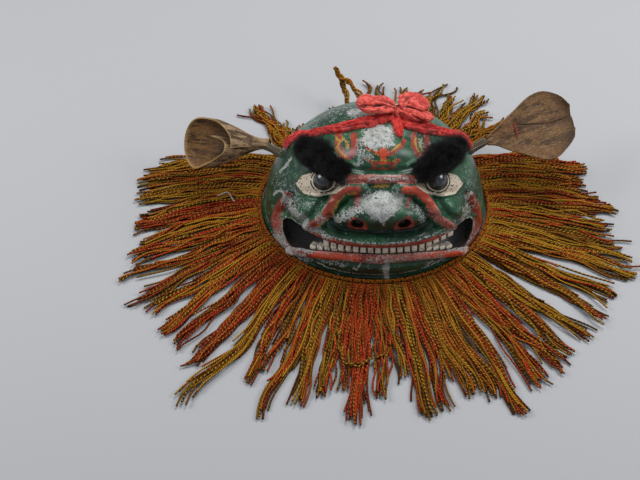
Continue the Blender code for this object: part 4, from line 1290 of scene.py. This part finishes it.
# The yarn mane
# Two-ply woollen cords, golden olive and brick red, looped over a plaited heading along the rim and combed
# out over the ground in locks. Each lock's cords draw together towards its tip.
CORD_RADIUS = 0.00125
CORD_SIDES = 6
CORD_POINTS = 23
CORD_PITCH = 0.0052
ROUND = 6.28
HEADING_DEPTH = 0.005
HEADING_STEP = 0.0011
HEADING_PITCH = 0.0110
HEADING_THICK = 1.30
LOOSE_POINTS = 30
OLIVE_GOLD = (0.500, 0.245, 0.014, 1)
BRICK_RED = (0.520, 0.038, 0.009, 1)
ORANGE = (0.480, 0.125, 0.010, 1)
GOLD_HIGHLIGHT = (0.760, 0.430, 0.070, 1)
DARK_WOOL = (0.038, 0.017, 0.004, 1)
PALE_THREAD = (0.600, 0.520, 0.380, 1)
PLY_SHADE = (0.010, 0.007, 0.003, 1)
SIDE_SHADE = (0.010, 0.006, 0.003, 1)
GROUND_SHADE = (0.022, 0.012, 0.005, 1)
# A cord's tone is 0 for gold and 1 for red. Two of the heading's strands are past 1.4, which is orange, and
# the pale thread is past 2.4.
HEADING_TONES = (1.52, 0.12, 1.56)
THREAD_TONE = 2.5
# Lock: rim degrees at its root, half its root's width, degrees and reach at its tip, how wide the tip stays,
# how far it curls aside, share of red, cords
LOCKS_LEFT = (
    (144.5, 3.2, 167.5, 0.148, 6, 2, 0.15, 24), (150.0, 3.4, 170.5, 0.163, 6, -3, 0.20, 24),
    (156.0, 3.6, 173.5, 0.168, 6, 3, 0.15, 25), (162.0, 3.6, 176.5, 0.160, 7, 0, 0.12, 25),
    (168.0, 3.6, 179.5, 0.166, 7, 3, 0.20, 25), (174.0, 3.6, 183.5, 0.158, 7, -3, 0.50, 25),
    (180.0, 3.6, 187.0, 0.168, 6, 3, 0.72, 25), (186.0, 3.6, 191.0, 0.163, 6, -4, 0.62, 25),
    (192.0, 3.4, 195.5, 0.178, 5, 4, 0.42, 24), (197.5, 3.2, 200.5, 0.197, 2.5, 7, 0.45, 22),
    (202.5, 3.0, 206.0, 0.188, 5, -5, 0.60, 22), (207.3, 3.0, 211.0, 0.191, 3.5, 6, 0.60, 22),
    (211.8, 2.6, 215.5, 0.190, 4, -5, 0.50, 20), (200.0, 1.0, 208.0, 0.214, 1.5, 6, 0.95, 3),
)
LOCKS_CHIN = (
    (217.5, 2.8, 220.5, 0.193, 3.5, 5, 0.60, 22), (224.2, 3.4, 227.0, 0.194, 3, 4, 0.93, 30),
    (230.4, 2.8, 232.0, 0.248, 1.6, 15, 0.22, 22), (235.2, 2.8, 238.5, 0.185, 2, -3, 0.75, 20),
    (239.6, 2.4, 241.5, 0.168, 4, 4, 0.50, 16), (244.2, 3.0, 247.0, 0.218, 2, 11, 0.30, 24),
    (249.2, 3.0, 251.0, 0.188, 3, -3, 0.45, 26), (254.6, 3.2, 256.5, 0.170, 5, 3, 0.38, 26),
    (259.6, 2.6, 261.0, 0.158, 4, -3, 0.60, 18), (264.8, 3.8, 264.5, 0.201, 4, 3, 0.97, 38),
    (270.4, 2.8, 271.5, 0.168, 6, 5, 0.75, 20), (275.0, 2.8, 275.5, 0.146, 3, -5, 0.35, 18),
    (279.6, 3.2, 281.0, 0.204, 4.5, 4, 0.50, 28), (284.4, 3.0, 286.0, 0.191, 4.5, 6, 0.60, 24),
    (289.2, 3.2, 290.5, 0.180, 8, -7, 0.38, 28), (294.4, 3.2, 295.0, 0.192, 8, -9, 0.35, 28),
    (299.4, 3.0, 300.0, 0.224, 3.5, 6, 0.45, 26), (305.4, 3.2, 308.0, 0.207, 4, 7, 0.55, 26),
    (310.4, 3.0, 312.0, 0.203, 4, -5, 0.62, 24), (315.4, 3.0, 317.0, 0.190, 4, 5, 0.35, 24),
    (320.6, 3.2, 322.0, 0.193, 3, -4, 0.25, 25), (227.5, 1.2, 224.0, 0.206, 2, -13, 1.00, 3),
)
LOCKS_RIGHT = (
    (328.6, 3.2, 329.0, 0.192, 4, 4, 0.25, 26), (334.4, 3.6, 334.0, 0.187, 4, -4, 0.22, 28),
    (340.4, 3.6, 342.0, 0.205, 3, 5, 0.18, 28), (346.2, 3.6, 345.0, 0.190, 4, -5, 0.18, 26),
    (352.0, 3.6, 349.0, 0.166, 6, 3, 0.22, 26), (357.8, 3.6, 353.5, 0.164, 6, 3, 0.35, 26),
    (363.4, 3.6, 358.5, 0.171, 4, -3, 0.30, 26), (369.0, 3.6, 362.0, 0.150, 6, 3, 0.28, 26),
    (374.6, 3.6, 364.5, 0.137, 6, -3, 0.22, 26), (380.4, 3.6, 368.0, 0.140, 6, 3, 0.22, 26),
    (386.4, 3.8, 371.5, 0.145, 6, 3, 0.30, 26), (393.0, 4.0, 374.0, 0.150, 4, 10, 0.22, 28),
)
LOCKS_CROWN = (
    (42.0, 2.5, 39.5, 0.110, 4, 5, 0.20, 18), (48.0, 2.8, 47.0, 0.100, 6, -4, 0.15, 16),
    (54.0, 2.8, 52.5, 0.124, 4, 6, 0.15, 18), (60.5, 3.0, 60.0, 0.100, 7, -5, 0.30, 16),
    (67.0, 2.8, 66.0, 0.119, 4, 5, 0.12, 14), (73.0, 2.6, 74.0, 0.096, 5, -6, 0.20, 12),
    (79.0, 2.6, 79.0, 0.090, 5, 5, 0.20, 12), (85.0, 2.4, 85.5, 0.098, 3, -8, 0.12, 9),
    (91.5, 1.8, 93.0, 0.102, 2, 12, 0.15, 6), (90.0, 5.0, 90.0, 0.048, 8, 2, 0.20, 16),
    (100.0, 1.6, 101.5, 0.060, 4, -7, 0.15, 8), (101.0, 5.0, 101.0, 0.042, 8, 2, 0.20, 16),
    (111.5, 5.4, 112.0, 0.040, 8, 2, 0.20, 18), (122.5, 5.6, 123.0, 0.044, 8, -3, 0.25, 18),
    (130.5, 2.6, 131.0, 0.060, 6, 3, 0.25, 12), (136.8, 3.2, 129.8, 0.106, 5, -7, 0.22, 24),
)
# String: places from the rim's middle in metres, cords, how far they part, tone, thickness
STRINGS_LEFT = (
    (
        ((-0.200, 0.012, 0.0105), (-0.188, 0.013, 0.0115), (-0.180, 0.007, 0.0110), (-0.176, 0.001, 0.0100)),
        1, 0.0, THREAD_TONE, 0.6,
    ),
)
STRINGS_CHIN = (
    (
        ((-0.049, -0.170, 0.008), (-0.047, -0.210, 0.009), (-0.044, -0.236, 0.009), (-0.030, -0.245, 0.009),
         (-0.016, -0.238, 0.010), (-0.004, -0.225, 0.010), (0.005, -0.223, 0.008), (0.016, -0.230, 0.004)),
        2, 0.0012, 0.1, 0.8,
    ),
)
STRINGS_CROWN = (
    (
        ((-0.029, 0.118, 0.004), (-0.032, 0.132, 0.016), (-0.034, 0.158, 0.030), (-0.041, 0.184, 0.042),
         (-0.054, 0.208, 0.050)),
        8, 0.0020, 0.12, 1.0,
    ),
    (
        ((-0.006, 0.119, 0.004), (-0.007, 0.134, 0.018), (-0.012, 0.160, 0.034), (-0.028, 0.178, 0.046),
         (-0.046, 0.186, 0.050)),
        6, 0.0016, 0.42, 1.0,
    ),
)


def cord_tree(name, finish):
    """Turns lines into round cords that know the length along them and the turn around, for the plies."""
    inputs = (("Radius", "NodeSocketFloat", CORD_RADIUS), ("Sides", "NodeSocketInt", CORD_SIDES))
    nodes = new_tree(name, inputs)
    lines = nodes.add("NodeGroupInput", out="Geometry")
    radius = nodes.add("NodeGroupInput", out="Radius")
    sides = nodes.add("NodeGroupInput", out="Sides")
    curves = nodes.add("GeometryNodeMeshToCurve", (), {"Mesh": lines})
    along = nodes.add("GeometryNodeSplineParameter", out="Length")
    sockets = {"Geometry": curves, "Name": "along", "Value": along}
    stored = nodes.add("GeometryNodeStoreNamedAttribute", {"data_type": "FLOAT", "domain": "POINT"}, sockets)
    sockets = {"Curve": stored, "Radius": named(nodes, "FLOAT", "thick")}
    thick = nodes.add("GeometryNodeSetCurveRadius", (), sockets)
    sockets = {"Resolution": sides, "Radius": radius}
    circle = nodes.add("GeometryNodeCurvePrimitiveCircle", {"mode": "RADIUS"}, sockets)
    place = nodes.add("GeometryNodeInputPosition")
    around = nodes.add("ShaderNodeVectorMath", {"operation": "NORMALIZE"}, {0: place})
    settings = {"data_type": "FLOAT_VECTOR", "domain": "POINT"}
    sockets = {"Geometry": circle, "Name": "around", "Value": around}
    marked = nodes.add("GeometryNodeStoreNamedAttribute", settings, sockets)
    sockets = {"Curve": thick, "Profile Curve": marked, "Fill Caps": True}
    tube = nodes.add("GeometryNodeCurveToMesh", (), sockets)
    real = nodes.add("GeometryNodeRealizeInstances", (), {"Geometry": tube})
    dressed = nodes.add("GeometryNodeSetMaterial", (), {"Geometry": real, "Material": finish})
    nodes.add("NodeGroupOutput", (), {"Geometry": dressed})
    return nodes.tree


def lines_mesh(name, lines, thick, tones):
    """A mesh of polylines, each with its own thickness along it and one tone."""
    points = np.concatenate([np.asarray(line, float) for line in lines])
    edges, start = [], 0
    for line in lines:
        edges += [(start + k, start + k + 1) for k in range(len(line) - 1)]
        start += len(line)
    mesh = bpy.data.meshes.new(name)
    mesh.from_pydata(points.tolist(), edges, [])
    toned = [np.full(len(line), tone) for line, tone in zip(lines, tones)]
    for label, values in (("thick", thick), ("tone", toned)):
        data = mesh.attributes.new(label, "FLOAT", "POINT").data
        data.foreach_set("value", np.concatenate(values).astype(np.float32))
    return mesh


def yarn(name, first, second, between, shine, dark, pitch):
    """Twisted yarn: two plies, often of two shades, wound round each other with a painted shade line between,
    and a painted highlight.
    """
    paint = Finish(name)
    tone = paint.field("tone")
    along = paint.field("along") * (2 * math.pi / pitch) + paint.math("FRACT", tone * 53.0) * ROUND
    around = paint.add("ShaderNodeAttribute", {"attribute_name": "around"}, out="Vector")
    x, y, _ = paint.parts(around)
    wave = paint.math("SINE", along) * x + paint.math("COSINE", along) * y
    ply = paint.math("ABSOLUTE", wave)
    fuzz = paint.noise(700, 2.0)
    patchy = paint.noise(45, 2.0)
    which = paint.math("GREATER_THAN", wave, 0.0)
    colour = paint.mix(first, second, paint.step(tone + (patchy - 0.5) * 0.35, 0.42, 0.58))
    colour = paint.mix(colour, between, paint.step(paint.math("FRACT", tone * 23.0), 0.58, 0.80) * 0.8)
    other = paint.mix(colour, dark, paint.step(paint.math("FRACT", tone * 91.0), 0.30, 1.0) * 0.9)
    colour = paint.mix(colour, other, which)
    colour = paint.mix(colour, dark, paint.step(paint.math("FRACT", tone * 37.0), 0.45, 1.0) * 0.62)
    # A painted highlight on one side of each ply
    colour = paint.mix(colour, shine, paint.step(fuzz, 0.50, 0.66) * paint.step(wave, 0.2, -0.4) * 0.6)
    colour = paint.mix(colour, between, paint.step(tone, 1.2, 1.4) * 0.8)
    colour = paint.mix(colour, PALE_THREAD, paint.step(tone, 2.2, 2.4))
    colour = paint.mix(PLY_SHADE, colour, paint.step(ply, 0.12, 0.50))
    facing = paint.parts(paint.add("ShaderNodeNewGeometry", out="Normal"))[2]
    lying = paint.parts(paint.place)[2]
    colour = paint.mix(SIDE_SHADE, colour, 0.06 + paint.step(facing, 0.00, 0.78) * 0.94)
    colour = paint.mix(GROUND_SHADE, colour, 0.16 + paint.step(lying, 0.0014, 0.0068) * 0.84)
    return paint.done(colour, 0.82, ply * 0.8 + fuzz * 0.4, 0.0008, 0.9, {"Specular IOR Level": 0.12})


YARN = yarn("mane_yarn", OLIVE_GOLD, BRICK_RED, ORANGE, GOLD_HIGHLIGHT, DARK_WOOL, CORD_PITCH)
CORD_TREE = cord_tree("mane_cords", YARN)


def rim_point(turn, out):
    """A point outside the rim's flange, a distance out along the rim's normal, and that normal."""
    a, b = MASK_WIDTH / 2, MASK_LENGTH / 2
    normal = Vector((math.cos(turn) / a, math.sin(turn) / b, 0)).normalized()
    rim = MIDDLE + Vector((a * math.cos(turn), b * math.sin(turn), 0))
    return rim + normal * (FLANGE_OUT + GAP + out), normal


def mane_lines(locks, seed, curly):
    """The lines of a row of locks, root to tip, and each line's thickness and tone."""
    draw = random.Random(seed)
    lines, thick, tones = [], [], []
    for root, half, tip, reach, tip_spread, curl, red, cords in locks:
        end, _ = rim_point(math.radians(tip), reach)
        start, _ = rim_point(math.radians(root), 0)
        toward = (end - start).normalized()
        swing = Vector((-toward.y, toward.x, 0))
        bulge = draw.uniform(0.5, 0.9)
        phase = draw.uniform(-0.4, 0.4)
        for k in range(cords):
            lane = 2 * (k + draw.uniform(0.1, 0.9)) / cords - 1
            base, normal = rim_point(math.radians(root + half * lane * 1.08), HEADING_DEPTH * 0.86)
            stray = draw.random() < 0.09
            cut_short = draw.random() < 0.35 + 0.3 * abs(lane)
            short = draw.uniform(0.62, 0.93) if cut_short else draw.uniform(0.93, 1.0)
            drift = draw.gauss(0, 0.010 if stray else 0.0026) * curly
            layer = draw.random()
            sway = draw.uniform(0.0006, 0.0021) * (1.8 if stray else 1.0) * curly
            waves = draw.uniform(1.6, 4.2)
            offset = draw.uniform(0, ROUND)
            kink = draw.choice((-1, 1)) * draw.uniform(0.0, 0.006)
            leave = base + normal * reach * 0.20 * (0.6 + 0.4 * normal.dot(toward)) + toward * reach * 0.12
            across = (base - start).dot(swing)
            line, girth = [], []
            for i in range(CORD_POINTS):
                done = i / (CORD_POINTS - 1)
                t = done * short
                u = 1 - t
                axis = base * u ** 2 + leave * 2 * u * t + (end + swing * across * 0.1) * t ** 2
                close = float(smooth_step(0.25, 1.0, t)) ** bulge
                aside = lane * tip_spread * 0.001 * close - across * 0.55 * close * u
                aside += curl * 0.001 * math.sin(5.6 * t * t + phase) * float(smooth_step(0.30, 1.0, t))
                aside += sway * math.sin(waves * ROUND * t + offset) * min(1.0, t * 4)
                aside += drift * t * t + kink * max(0.0, done - 0.82) / 0.18
                p = axis + swing * aside
                settle = float(smooth_step(0.0, 0.16, t))
                pile = (0.0010 + 0.0058 * layer) * (1 - 0.40 * t) * (1.15 - 0.5 * lane * lane)
                bump = 0.0006 * math.sin(waves * 5.0 * t + offset * 2)
                height = 0.0046 * (1 - settle) + (CORD_RADIUS + pile + bump) * settle
                line.append((p.x, p.y, max(height, CORD_RADIUS + 0.0001)))
                girth.append(1.0 if i < CORD_POINTS - 2 else 0.75)
            lines.append(line)
            thick.append(np.array(girth))
            tones.append(0.5 + (0.5 if draw.random() < red else -0.5) * draw.uniform(0.25, 1.0))
    return lines, thick, tones


def heading_lines(start, end):
    """The plait that the cords hang from: three strands that wind along the rim."""
    lines, thick, tones = [], [], []
    run = math.radians(end - start) * (MASK_WIDTH + MASK_LENGTH) / 4
    count = int(run / HEADING_STEP)
    for strand, tone in enumerate(HEADING_TONES):
        line = []
        for i in range(count):
            turn = math.radians(start) + math.radians(end - start) * i / (count - 1)
            wind = i * HEADING_STEP / HEADING_PITCH * 2 * math.pi + strand * 2 * math.pi / 3
            place, _ = rim_point(turn, 0.0034 + 0.0016 * math.cos(wind))
            line.append((place.x, place.y, 0.0074 + 0.0018 * math.sin(wind)))
        lines.append(line)
        thick.append(np.full(count, HEADING_THICK))
        tones.append(tone)
    return lines, thick, tones


def loose_lines(strings, seed):
    """Single cords that stand up or lie over the locks."""
    draw = random.Random(seed)
    lines, thick, tones = [], [], []
    for path, cords, spread, tone, girth in strings:
        path = np.array(path)
        run = np.concatenate([[0], np.cumsum(np.linalg.norm(np.diff(path, axis=0), axis=1))])
        for _ in range(cords):
            aside = np.array([draw.gauss(0, spread) for _ in range(3)])
            twist = draw.uniform(0, ROUND)
            line = []
            for at in np.linspace(0, run[-1] * draw.uniform(0.86, 1.0), LOOSE_POINTS):
                near = [np.clip(at + step * run[-1], 0, run[-1]) for step in (-0.10, -0.05, 0.0, 0.05, 0.10)]
                p = np.mean([[np.interp(a, run, path[:, k]) for k in range(3)] for a in near], axis=0)
                p = p + aside * min(1.0, at / run[-1] * 3) + 0.0012 * math.sin(at * 260 + twist)
                line.append(tuple(np.array(MIDDLE) + np.maximum(p, (-9, -9, 0.0014))))
            lines.append(line)
            thick.append(np.full(LOOSE_POINTS, girth))
            tones.append(tone + draw.uniform(-0.05, 0.05))
    return lines, thick, tones


for name, locks, start, end, seed, curly, strings in (
    ("left", LOCKS_LEFT, 142, 214, 5, 1.0, STRINGS_LEFT),
    ("chin", LOCKS_CHIN, 216, 324, 6, 1.0, STRINGS_CHIN),
    ("right", LOCKS_RIGHT, 326, 398, 7, 1.0, ()),
    ("crown", LOCKS_CROWN, 40, 140, 8, 2.0, STRINGS_CROWN),
):
    rows = mane_lines(locks, seed, curly), heading_lines(start - 1, end + 1), loose_lines(strings, seed)
    mesh = lines_mesh("mane_" + name, *(sum(kind, []) for kind in zip(*rows)))
    mane = grown("mane_" + name, mesh, CORD_TREE)
    mane.data.shade_smooth()
    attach(mane, "root")
    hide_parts("fringe_" + name)

# The ears' ties
# Each ear hangs on a short bundle of grey hemp cords through the mask's side.
TIE_RADIUS = 0.0055
TIE_LENGTH = 0.030
TIE_POINTS = 12
TIE_CORD_RADIUS = 0.00105
TIE_PITCH = 0.0035
# Cords in each ring of a bundle: how far out, as a share of its radius, and how many
TIE_RINGS = ((0.0, 1), (0.42, 6), (0.86, 13))
HEMP_BROWN = (0.300, 0.255, 0.170, 1)
HEMP_PALE = (0.380, 0.330, 0.240, 1)
HEMP_DULL = (0.200, 0.170, 0.110, 1)
HEMP_SHINE = (0.520, 0.460, 0.330, 1)
HEMP_DARK = (0.070, 0.058, 0.040, 1)
HEMP = yarn("tie_hemp", HEMP_BROWN, HEMP_PALE, HEMP_DULL, HEMP_SHINE, HEMP_DARK, TIE_PITCH)
TIE_TREE = cord_tree("tie_cords", HEMP)


def ear_tie(side):
    """Where a tie leaves the mask, where it ends, and two directions across it."""
    foot = on_dome(side * 0.84 - FACE_SHIFT, 0.500 if side > 0 else 0.485, -WALL / 2)
    along = Vector((0.80, 0.58, 0.12) if side > 0 else (-0.84, 0.54, 0.02)).normalized()
    across = Vector((0, 0, 1)).cross(along).normalized()
    return foot, foot + along * TIE_LENGTH, across, along.cross(across)


for side, word in ((-1, "left"), (1, "right")):
    foot, end, across, face = ear_tie(side)
    draw = random.Random(17 + side)
    lines, thick, tones = [], [], []
    for ring, count in TIE_RINGS:
        for k in range(count):
            turn = 2 * math.pi * k / count + ring * 3
            line = []
            for i in range(TIE_POINTS):
                t = i / (TIE_POINTS - 1)
                twist = turn + 0.7 * t
                radius = TIE_RADIUS * ring * (1 - 0.10 * math.sin(math.pi * t))
                radius += 0.0003 * math.sin(9 * t + k)
                p = foot.lerp(end, 0.02 + 0.98 * t)
                p = p + across * radius * math.cos(twist) + face * radius * math.sin(twist)
                line.append(tuple(p))
            lines.append(line)
            thick.append(np.full(TIE_POINTS, draw.uniform(0.9, 1.1)))
            tones.append(draw.random())
    bundle = lines_mesh("tie", lines, thick, tones)
    tie = grown("tie_bundle_" + word, bundle, TIE_TREE, {"Radius": TIE_CORD_RADIUS})
    tie.data.shade_smooth()
    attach(tie, "root")
    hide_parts("ear_tie_" + word)

# The ears
# Raw hide, soaked, shaped and dried stiff. The left one is rolled to a cup with its mouth outwards; the right
# one is cut like a leaf, has cracked along its middle and is held there by one red stitch.
LEFT_HIDE = 0.0018
RIGHT_HIDE = 0.0025
EAR_LEFT_LENGTH = 0.100
EAR_LEFT_ROOT = 0.0062
EAR_LEFT_SWELL = 0.0208
EAR_RIGHT_LENGTH = 0.112
EAR_RIGHT_WIDTH = 0.086
STREAK_DARK = (0.075, 0.040, 0.020, 1)
RUSTY = (0.220, 0.108, 0.048, 1)
PALE_GRAIN = (0.470, 0.340, 0.195, 1)
DARK_GRAIN = (0.040, 0.022, 0.014, 1)
LIT_EDGE_GOLD = (0.520, 0.340, 0.130, 1)
THROAT_SHADE = (0.014, 0.009, 0.007, 1)
LEFT_TAN = (0.360, 0.240, 0.135, 1)
LEFT_INSIDE = (0.320, 0.155, 0.050, 1)
RIGHT_TAN = (0.180, 0.095, 0.040, 1)
RIGHT_INSIDE = (0.145, 0.074, 0.034, 1)
STITCH_SHADES = ((0.350, 0.010, 0.010, 1), (0.480, 0.020, 0.015, 1), (0.300, 0.015, 0.015, 1))
STITCH_RADIUS = 0.0009
STITCH_POINTS = 7


def raw_hide(name, tan, pale_share, inside, turn):
    """Stiff brown hide: streaked lengthwise, with painted light in gold at its thin edges and painted shade
    in its folds.
    """
    paint = Finish(name)
    streaks = paint.noise(40, 4.0, 0.65, paint.stretched((0.7, 4.0, 4.0), (0, 0, turn)))
    fine = paint.noise(300, 3.0, 0.65, paint.stretched((0.8, 1.9, 1.9), (0, 0, turn)))
    broad = paint.noise(26, 2.0)
    tan = paint.mix(tan, inside, paint.field("inner"))
    colour = paint.mix(STREAK_DARK, tan, paint.step(streaks, 0.40, 0.60))
    colour = paint.mix(colour, RUSTY, paint.step(broad, 0.46, 0.60) * 0.60)
    colour = paint.mix(colour, PALE_GRAIN, paint.step(fine, 0.54, 0.66) * pale_share)
    colour = paint.mix(colour, DARK_GRAIN, paint.step(fine, 0.44, 0.36) * 0.6)
    # Painted light along the thin edges
    colour = paint.mix(colour, LIT_EDGE_GOLD, paint.field("edge") * 0.75)
    # Painted shade where the dark share lies
    colour = paint.mix(colour, THROAT_SHADE, paint.field("dark") * 0.85)
    fixed = {"Specular IOR Level": 0.22}
    return paint.done(colour, 0.55 + fine * 0.25, streaks * 0.7 + fine * 0.5, 0.0010, 0.8, fixed)


def hide_sheet(name, grid, thickness, finish, edge, dark):
    """A closed wall on one side of a grid of points, which keeps its edge, its dark share and its inside."""
    rows, columns = len(grid), len(grid[0])
    outer = np.array([[tuple(p) for p in row] for row in grid])
    du = np.gradient(outer, axis=0)
    dv = np.gradient(outer, axis=1)
    normal = np.cross(du, dv)
    normal /= np.linalg.norm(normal, axis=-1, keepdims=True)
    inner = outer - normal * thickness
    points = np.concatenate([outer.reshape(-1, 3), inner.reshape(-1, 3)]).tolist()
    size = rows * columns
    faces = []
    for i in range(rows - 1):
        for j in range(columns - 1):
            a = i * columns + j
            faces.append((a, a + 1, a + columns + 1, a + columns))
            faces.append((size + a, size + a + columns, size + a + columns + 1, size + a + 1))
    border = list(range(columns)) + [i * columns + columns - 1 for i in range(1, rows)]
    border += [(rows - 1) * columns + j for j in range(columns - 2, -1, -1)]
    border += [i * columns for i in range(rows - 2, 0, -1)]
    faces += [(a, b, size + b, size + a) for a, b in zip(border, border[1:] + border[:1])]
    piece = solid(name, points, faces, finish, smooth=60)
    for label, values in (("edge", (edge, edge)), ("dark", dark), ("inner", (edge * 0, edge * 0 + 1))):
        data = piece.data.attributes.new(label, "FLOAT", "POINT").data
        data.foreach_set("value", np.ravel(values).astype(np.float32))
    return piece


# The left ear: rows run from the tie to the mouth, and columns run once round the roll and a little more
_, root, _, _ = ear_tie(-1)
along = Vector((-0.97, 0.145, -0.12)).normalized()
front = Vector((-0.16, -0.62, 0.76))
front = (front - along * front.dot(along)).normalized()
wing = along.cross(front)
root = root - along * 0.008
rows, columns = 70, 130
grid, edge, dark = [], np.zeros((rows, columns)), np.zeros((rows, columns))
for i in range(rows):
    t = i / (rows - 1)
    row = []
    for k in range(columns):
        v = -1 + 2 * k / (columns - 1)
        turn = math.radians(196 * v - 40 * max(0.0, -v - 0.8) / 0.2)
        back = (1 + math.cos(turn)) / 2
        flap = math.exp(-((v + 0.55) / 0.22) ** 2)
        curl = float(smooth_step(-0.74, -1.0, v))
        reach = EAR_LEFT_LENGTH * t * (0.46 + 0.72 * back ** 1.1 + 0.12 * flap + 0.16 * curl)
        far = reach / EAR_LEFT_LENGTH
        radius = EAR_LEFT_ROOT + EAR_LEFT_SWELL * float(smooth_step(0.04, 0.72, far)) + 0.0012 * v
        radius -= 0.0150 * curl * float(smooth_step(0.15, 0.5, far))
        radius += (0.012 * back - 0.0035 * (1 - back)) * float(smooth_step(0.45, 1.1, far))
        cockle = 0.0016 * (float(cloud(np.array(t * 6 + 3), np.array(v * 5 + 9), 3)) - 0.5)
        sag = 0.020 * far * far * back
        ahead = (radius + cockle) * math.cos(turn) * 0.92 - sag * 0.55
        place = root + along * (reach + cockle) - front * ahead
        row.append(place + wing * (radius + cockle) * math.sin(turn) * 1.06)
        # Painted light along the mouth and edges, and painted shade down the inside of the throat
        edge[i, k] = 0.9 * max(float(smooth_step(0.955, 1.0, t)), float(smooth_step(0.975, 1.0, abs(v))))
        dark[i, k] = 0.95 * float(smooth_step(0.92, 0.52, far))
    grid.append(row)
hide = raw_hide("ear_hide_left", LEFT_TAN, 0.42, LEFT_INSIDE, math.radians(171))
ear = hide_sheet("ear_cup", grid, LEFT_HIDE, hide, edge, (dark * 0, dark))
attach(ear, "root")
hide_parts("ear_left")

# The right ear: rows run from the tie to the tip, and columns run from the lower edge to the upper
_, root, _, _ = ear_tie(1)
along = Vector((0.945, 0.33, -0.02)).normalized()
root = root + along * 0.003
lean = Vector((-0.40, 0.80, 0.36))
lean = (lean - along * lean.dot(along)).normalized()
normal = along.cross(lean).normalized()
# Along the ear, how far its upper and its lower edge are, as shares of its length and half its width
OUTLINE = (
    (0.00, 0.10, 0.12), (0.105, 0.20, 0.22), (0.21, 0.36, 0.43), (0.32, 0.53, 0.66), (0.42, 0.68, 0.87),
    (0.51, 0.83, 1.05), (0.585, 0.95, 1.11), (0.66, 1.03, 1.08), (0.73, 1.05, 0.98), (0.80, 1.01, 0.86),
    (0.88, 0.87, 0.72), (0.94, 0.72, 0.60), (0.98, 0.55, 0.44), (1.00, 0.30, 0.24),
)
shares, uppers, lowers = (np.array(v) for v in zip(*OUTLINE))
rows, columns = 90, 72
grid, edge, dark = [], np.zeros((rows, columns)), np.zeros((rows, columns))
for i in range(rows):
    t = i / (rows - 1)
    soft = [max(0.0, min(1.0, t + step)) for step in (-0.03, -0.015, 0.0, 0.015, 0.03)]
    upper = float(np.mean(np.interp(soft, shares, uppers))) * EAR_RIGHT_WIDTH / 2
    lower = float(np.mean(np.interp(soft, shares, lowers))) * EAR_RIGHT_WIDTH / 2
    row = []
    for k in range(columns):
        v = -1 + 2 * k / (columns - 1)
        place = v * (upper if v > 0 else lower)
        cup = 0.17 * abs(place) * abs(v) + 0.005 * math.sin(2.2 * math.pi * t) * v
        seam = abs(place - 0.0040 * math.sin(6 * t) - 0.006)
        groove = float(smooth_step(0.0016, 0.0, seam)) * float(smooth_step(0.30, 0.50, t))
        cockle = 0.0024 * (float(cloud(np.array(t * 9), np.array(v * 3 + 9), 13)) - 0.5)
        out = cup + cockle - 0.0014 * groove
        row.append(root + along * EAR_RIGHT_LENGTH * 1.06 * t + lean * place + normal * out)
        # Painted light along the edges and tip, and painted shade in the crack, towards the tip and along the
        # edges
        edge[i, k] = 0.35 * max(float(smooth_step(0.985, 1.0, t)), float(smooth_step(0.97, 1.0, abs(v))))
        rim = float(smooth_step(0.60, 1.0, abs(v))) * (0.75 if v < 0 else 0.30)
        tip = 0.65 * float(smooth_step(0.76, 1.0, t))
        dark[i, k] = max(groove, tip, rim * float(smooth_step(0.45, 0.9, t)))
    grid.append(row)
hide = raw_hide("ear_hide_right", RIGHT_TAN, 0.34, RIGHT_INSIDE, math.radians(24))
ear = hide_sheet("ear_leaf", grid, RIGHT_HIDE, hide, edge, (dark, dark))
stitch = []
for k in range(STITCH_POINTS):
    here = root + along * (0.040 + 0.0008 * (k % 2)) + lean * (-0.006 + 0.0032 * k)
    stitch.append(tuple(here + normal * (0.0022 if k % 2 else 0.0012)))
tree = cord_tree("stitch_cord", cloth_red("stitch_red", STITCH_SHADES))
line = lines_mesh("stitch", [stitch], [np.full(STITCH_POINTS, 1.0)], [0.5])
sewn = grown("stitch", line, tree, {"Radius": STITCH_RADIUS})
keep_fold(sewn, [1.0] * len(sewn.data.vertices))
ear = joined("ear_leaf", [ear, sewn])
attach(ear, "root")
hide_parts("ear_right")
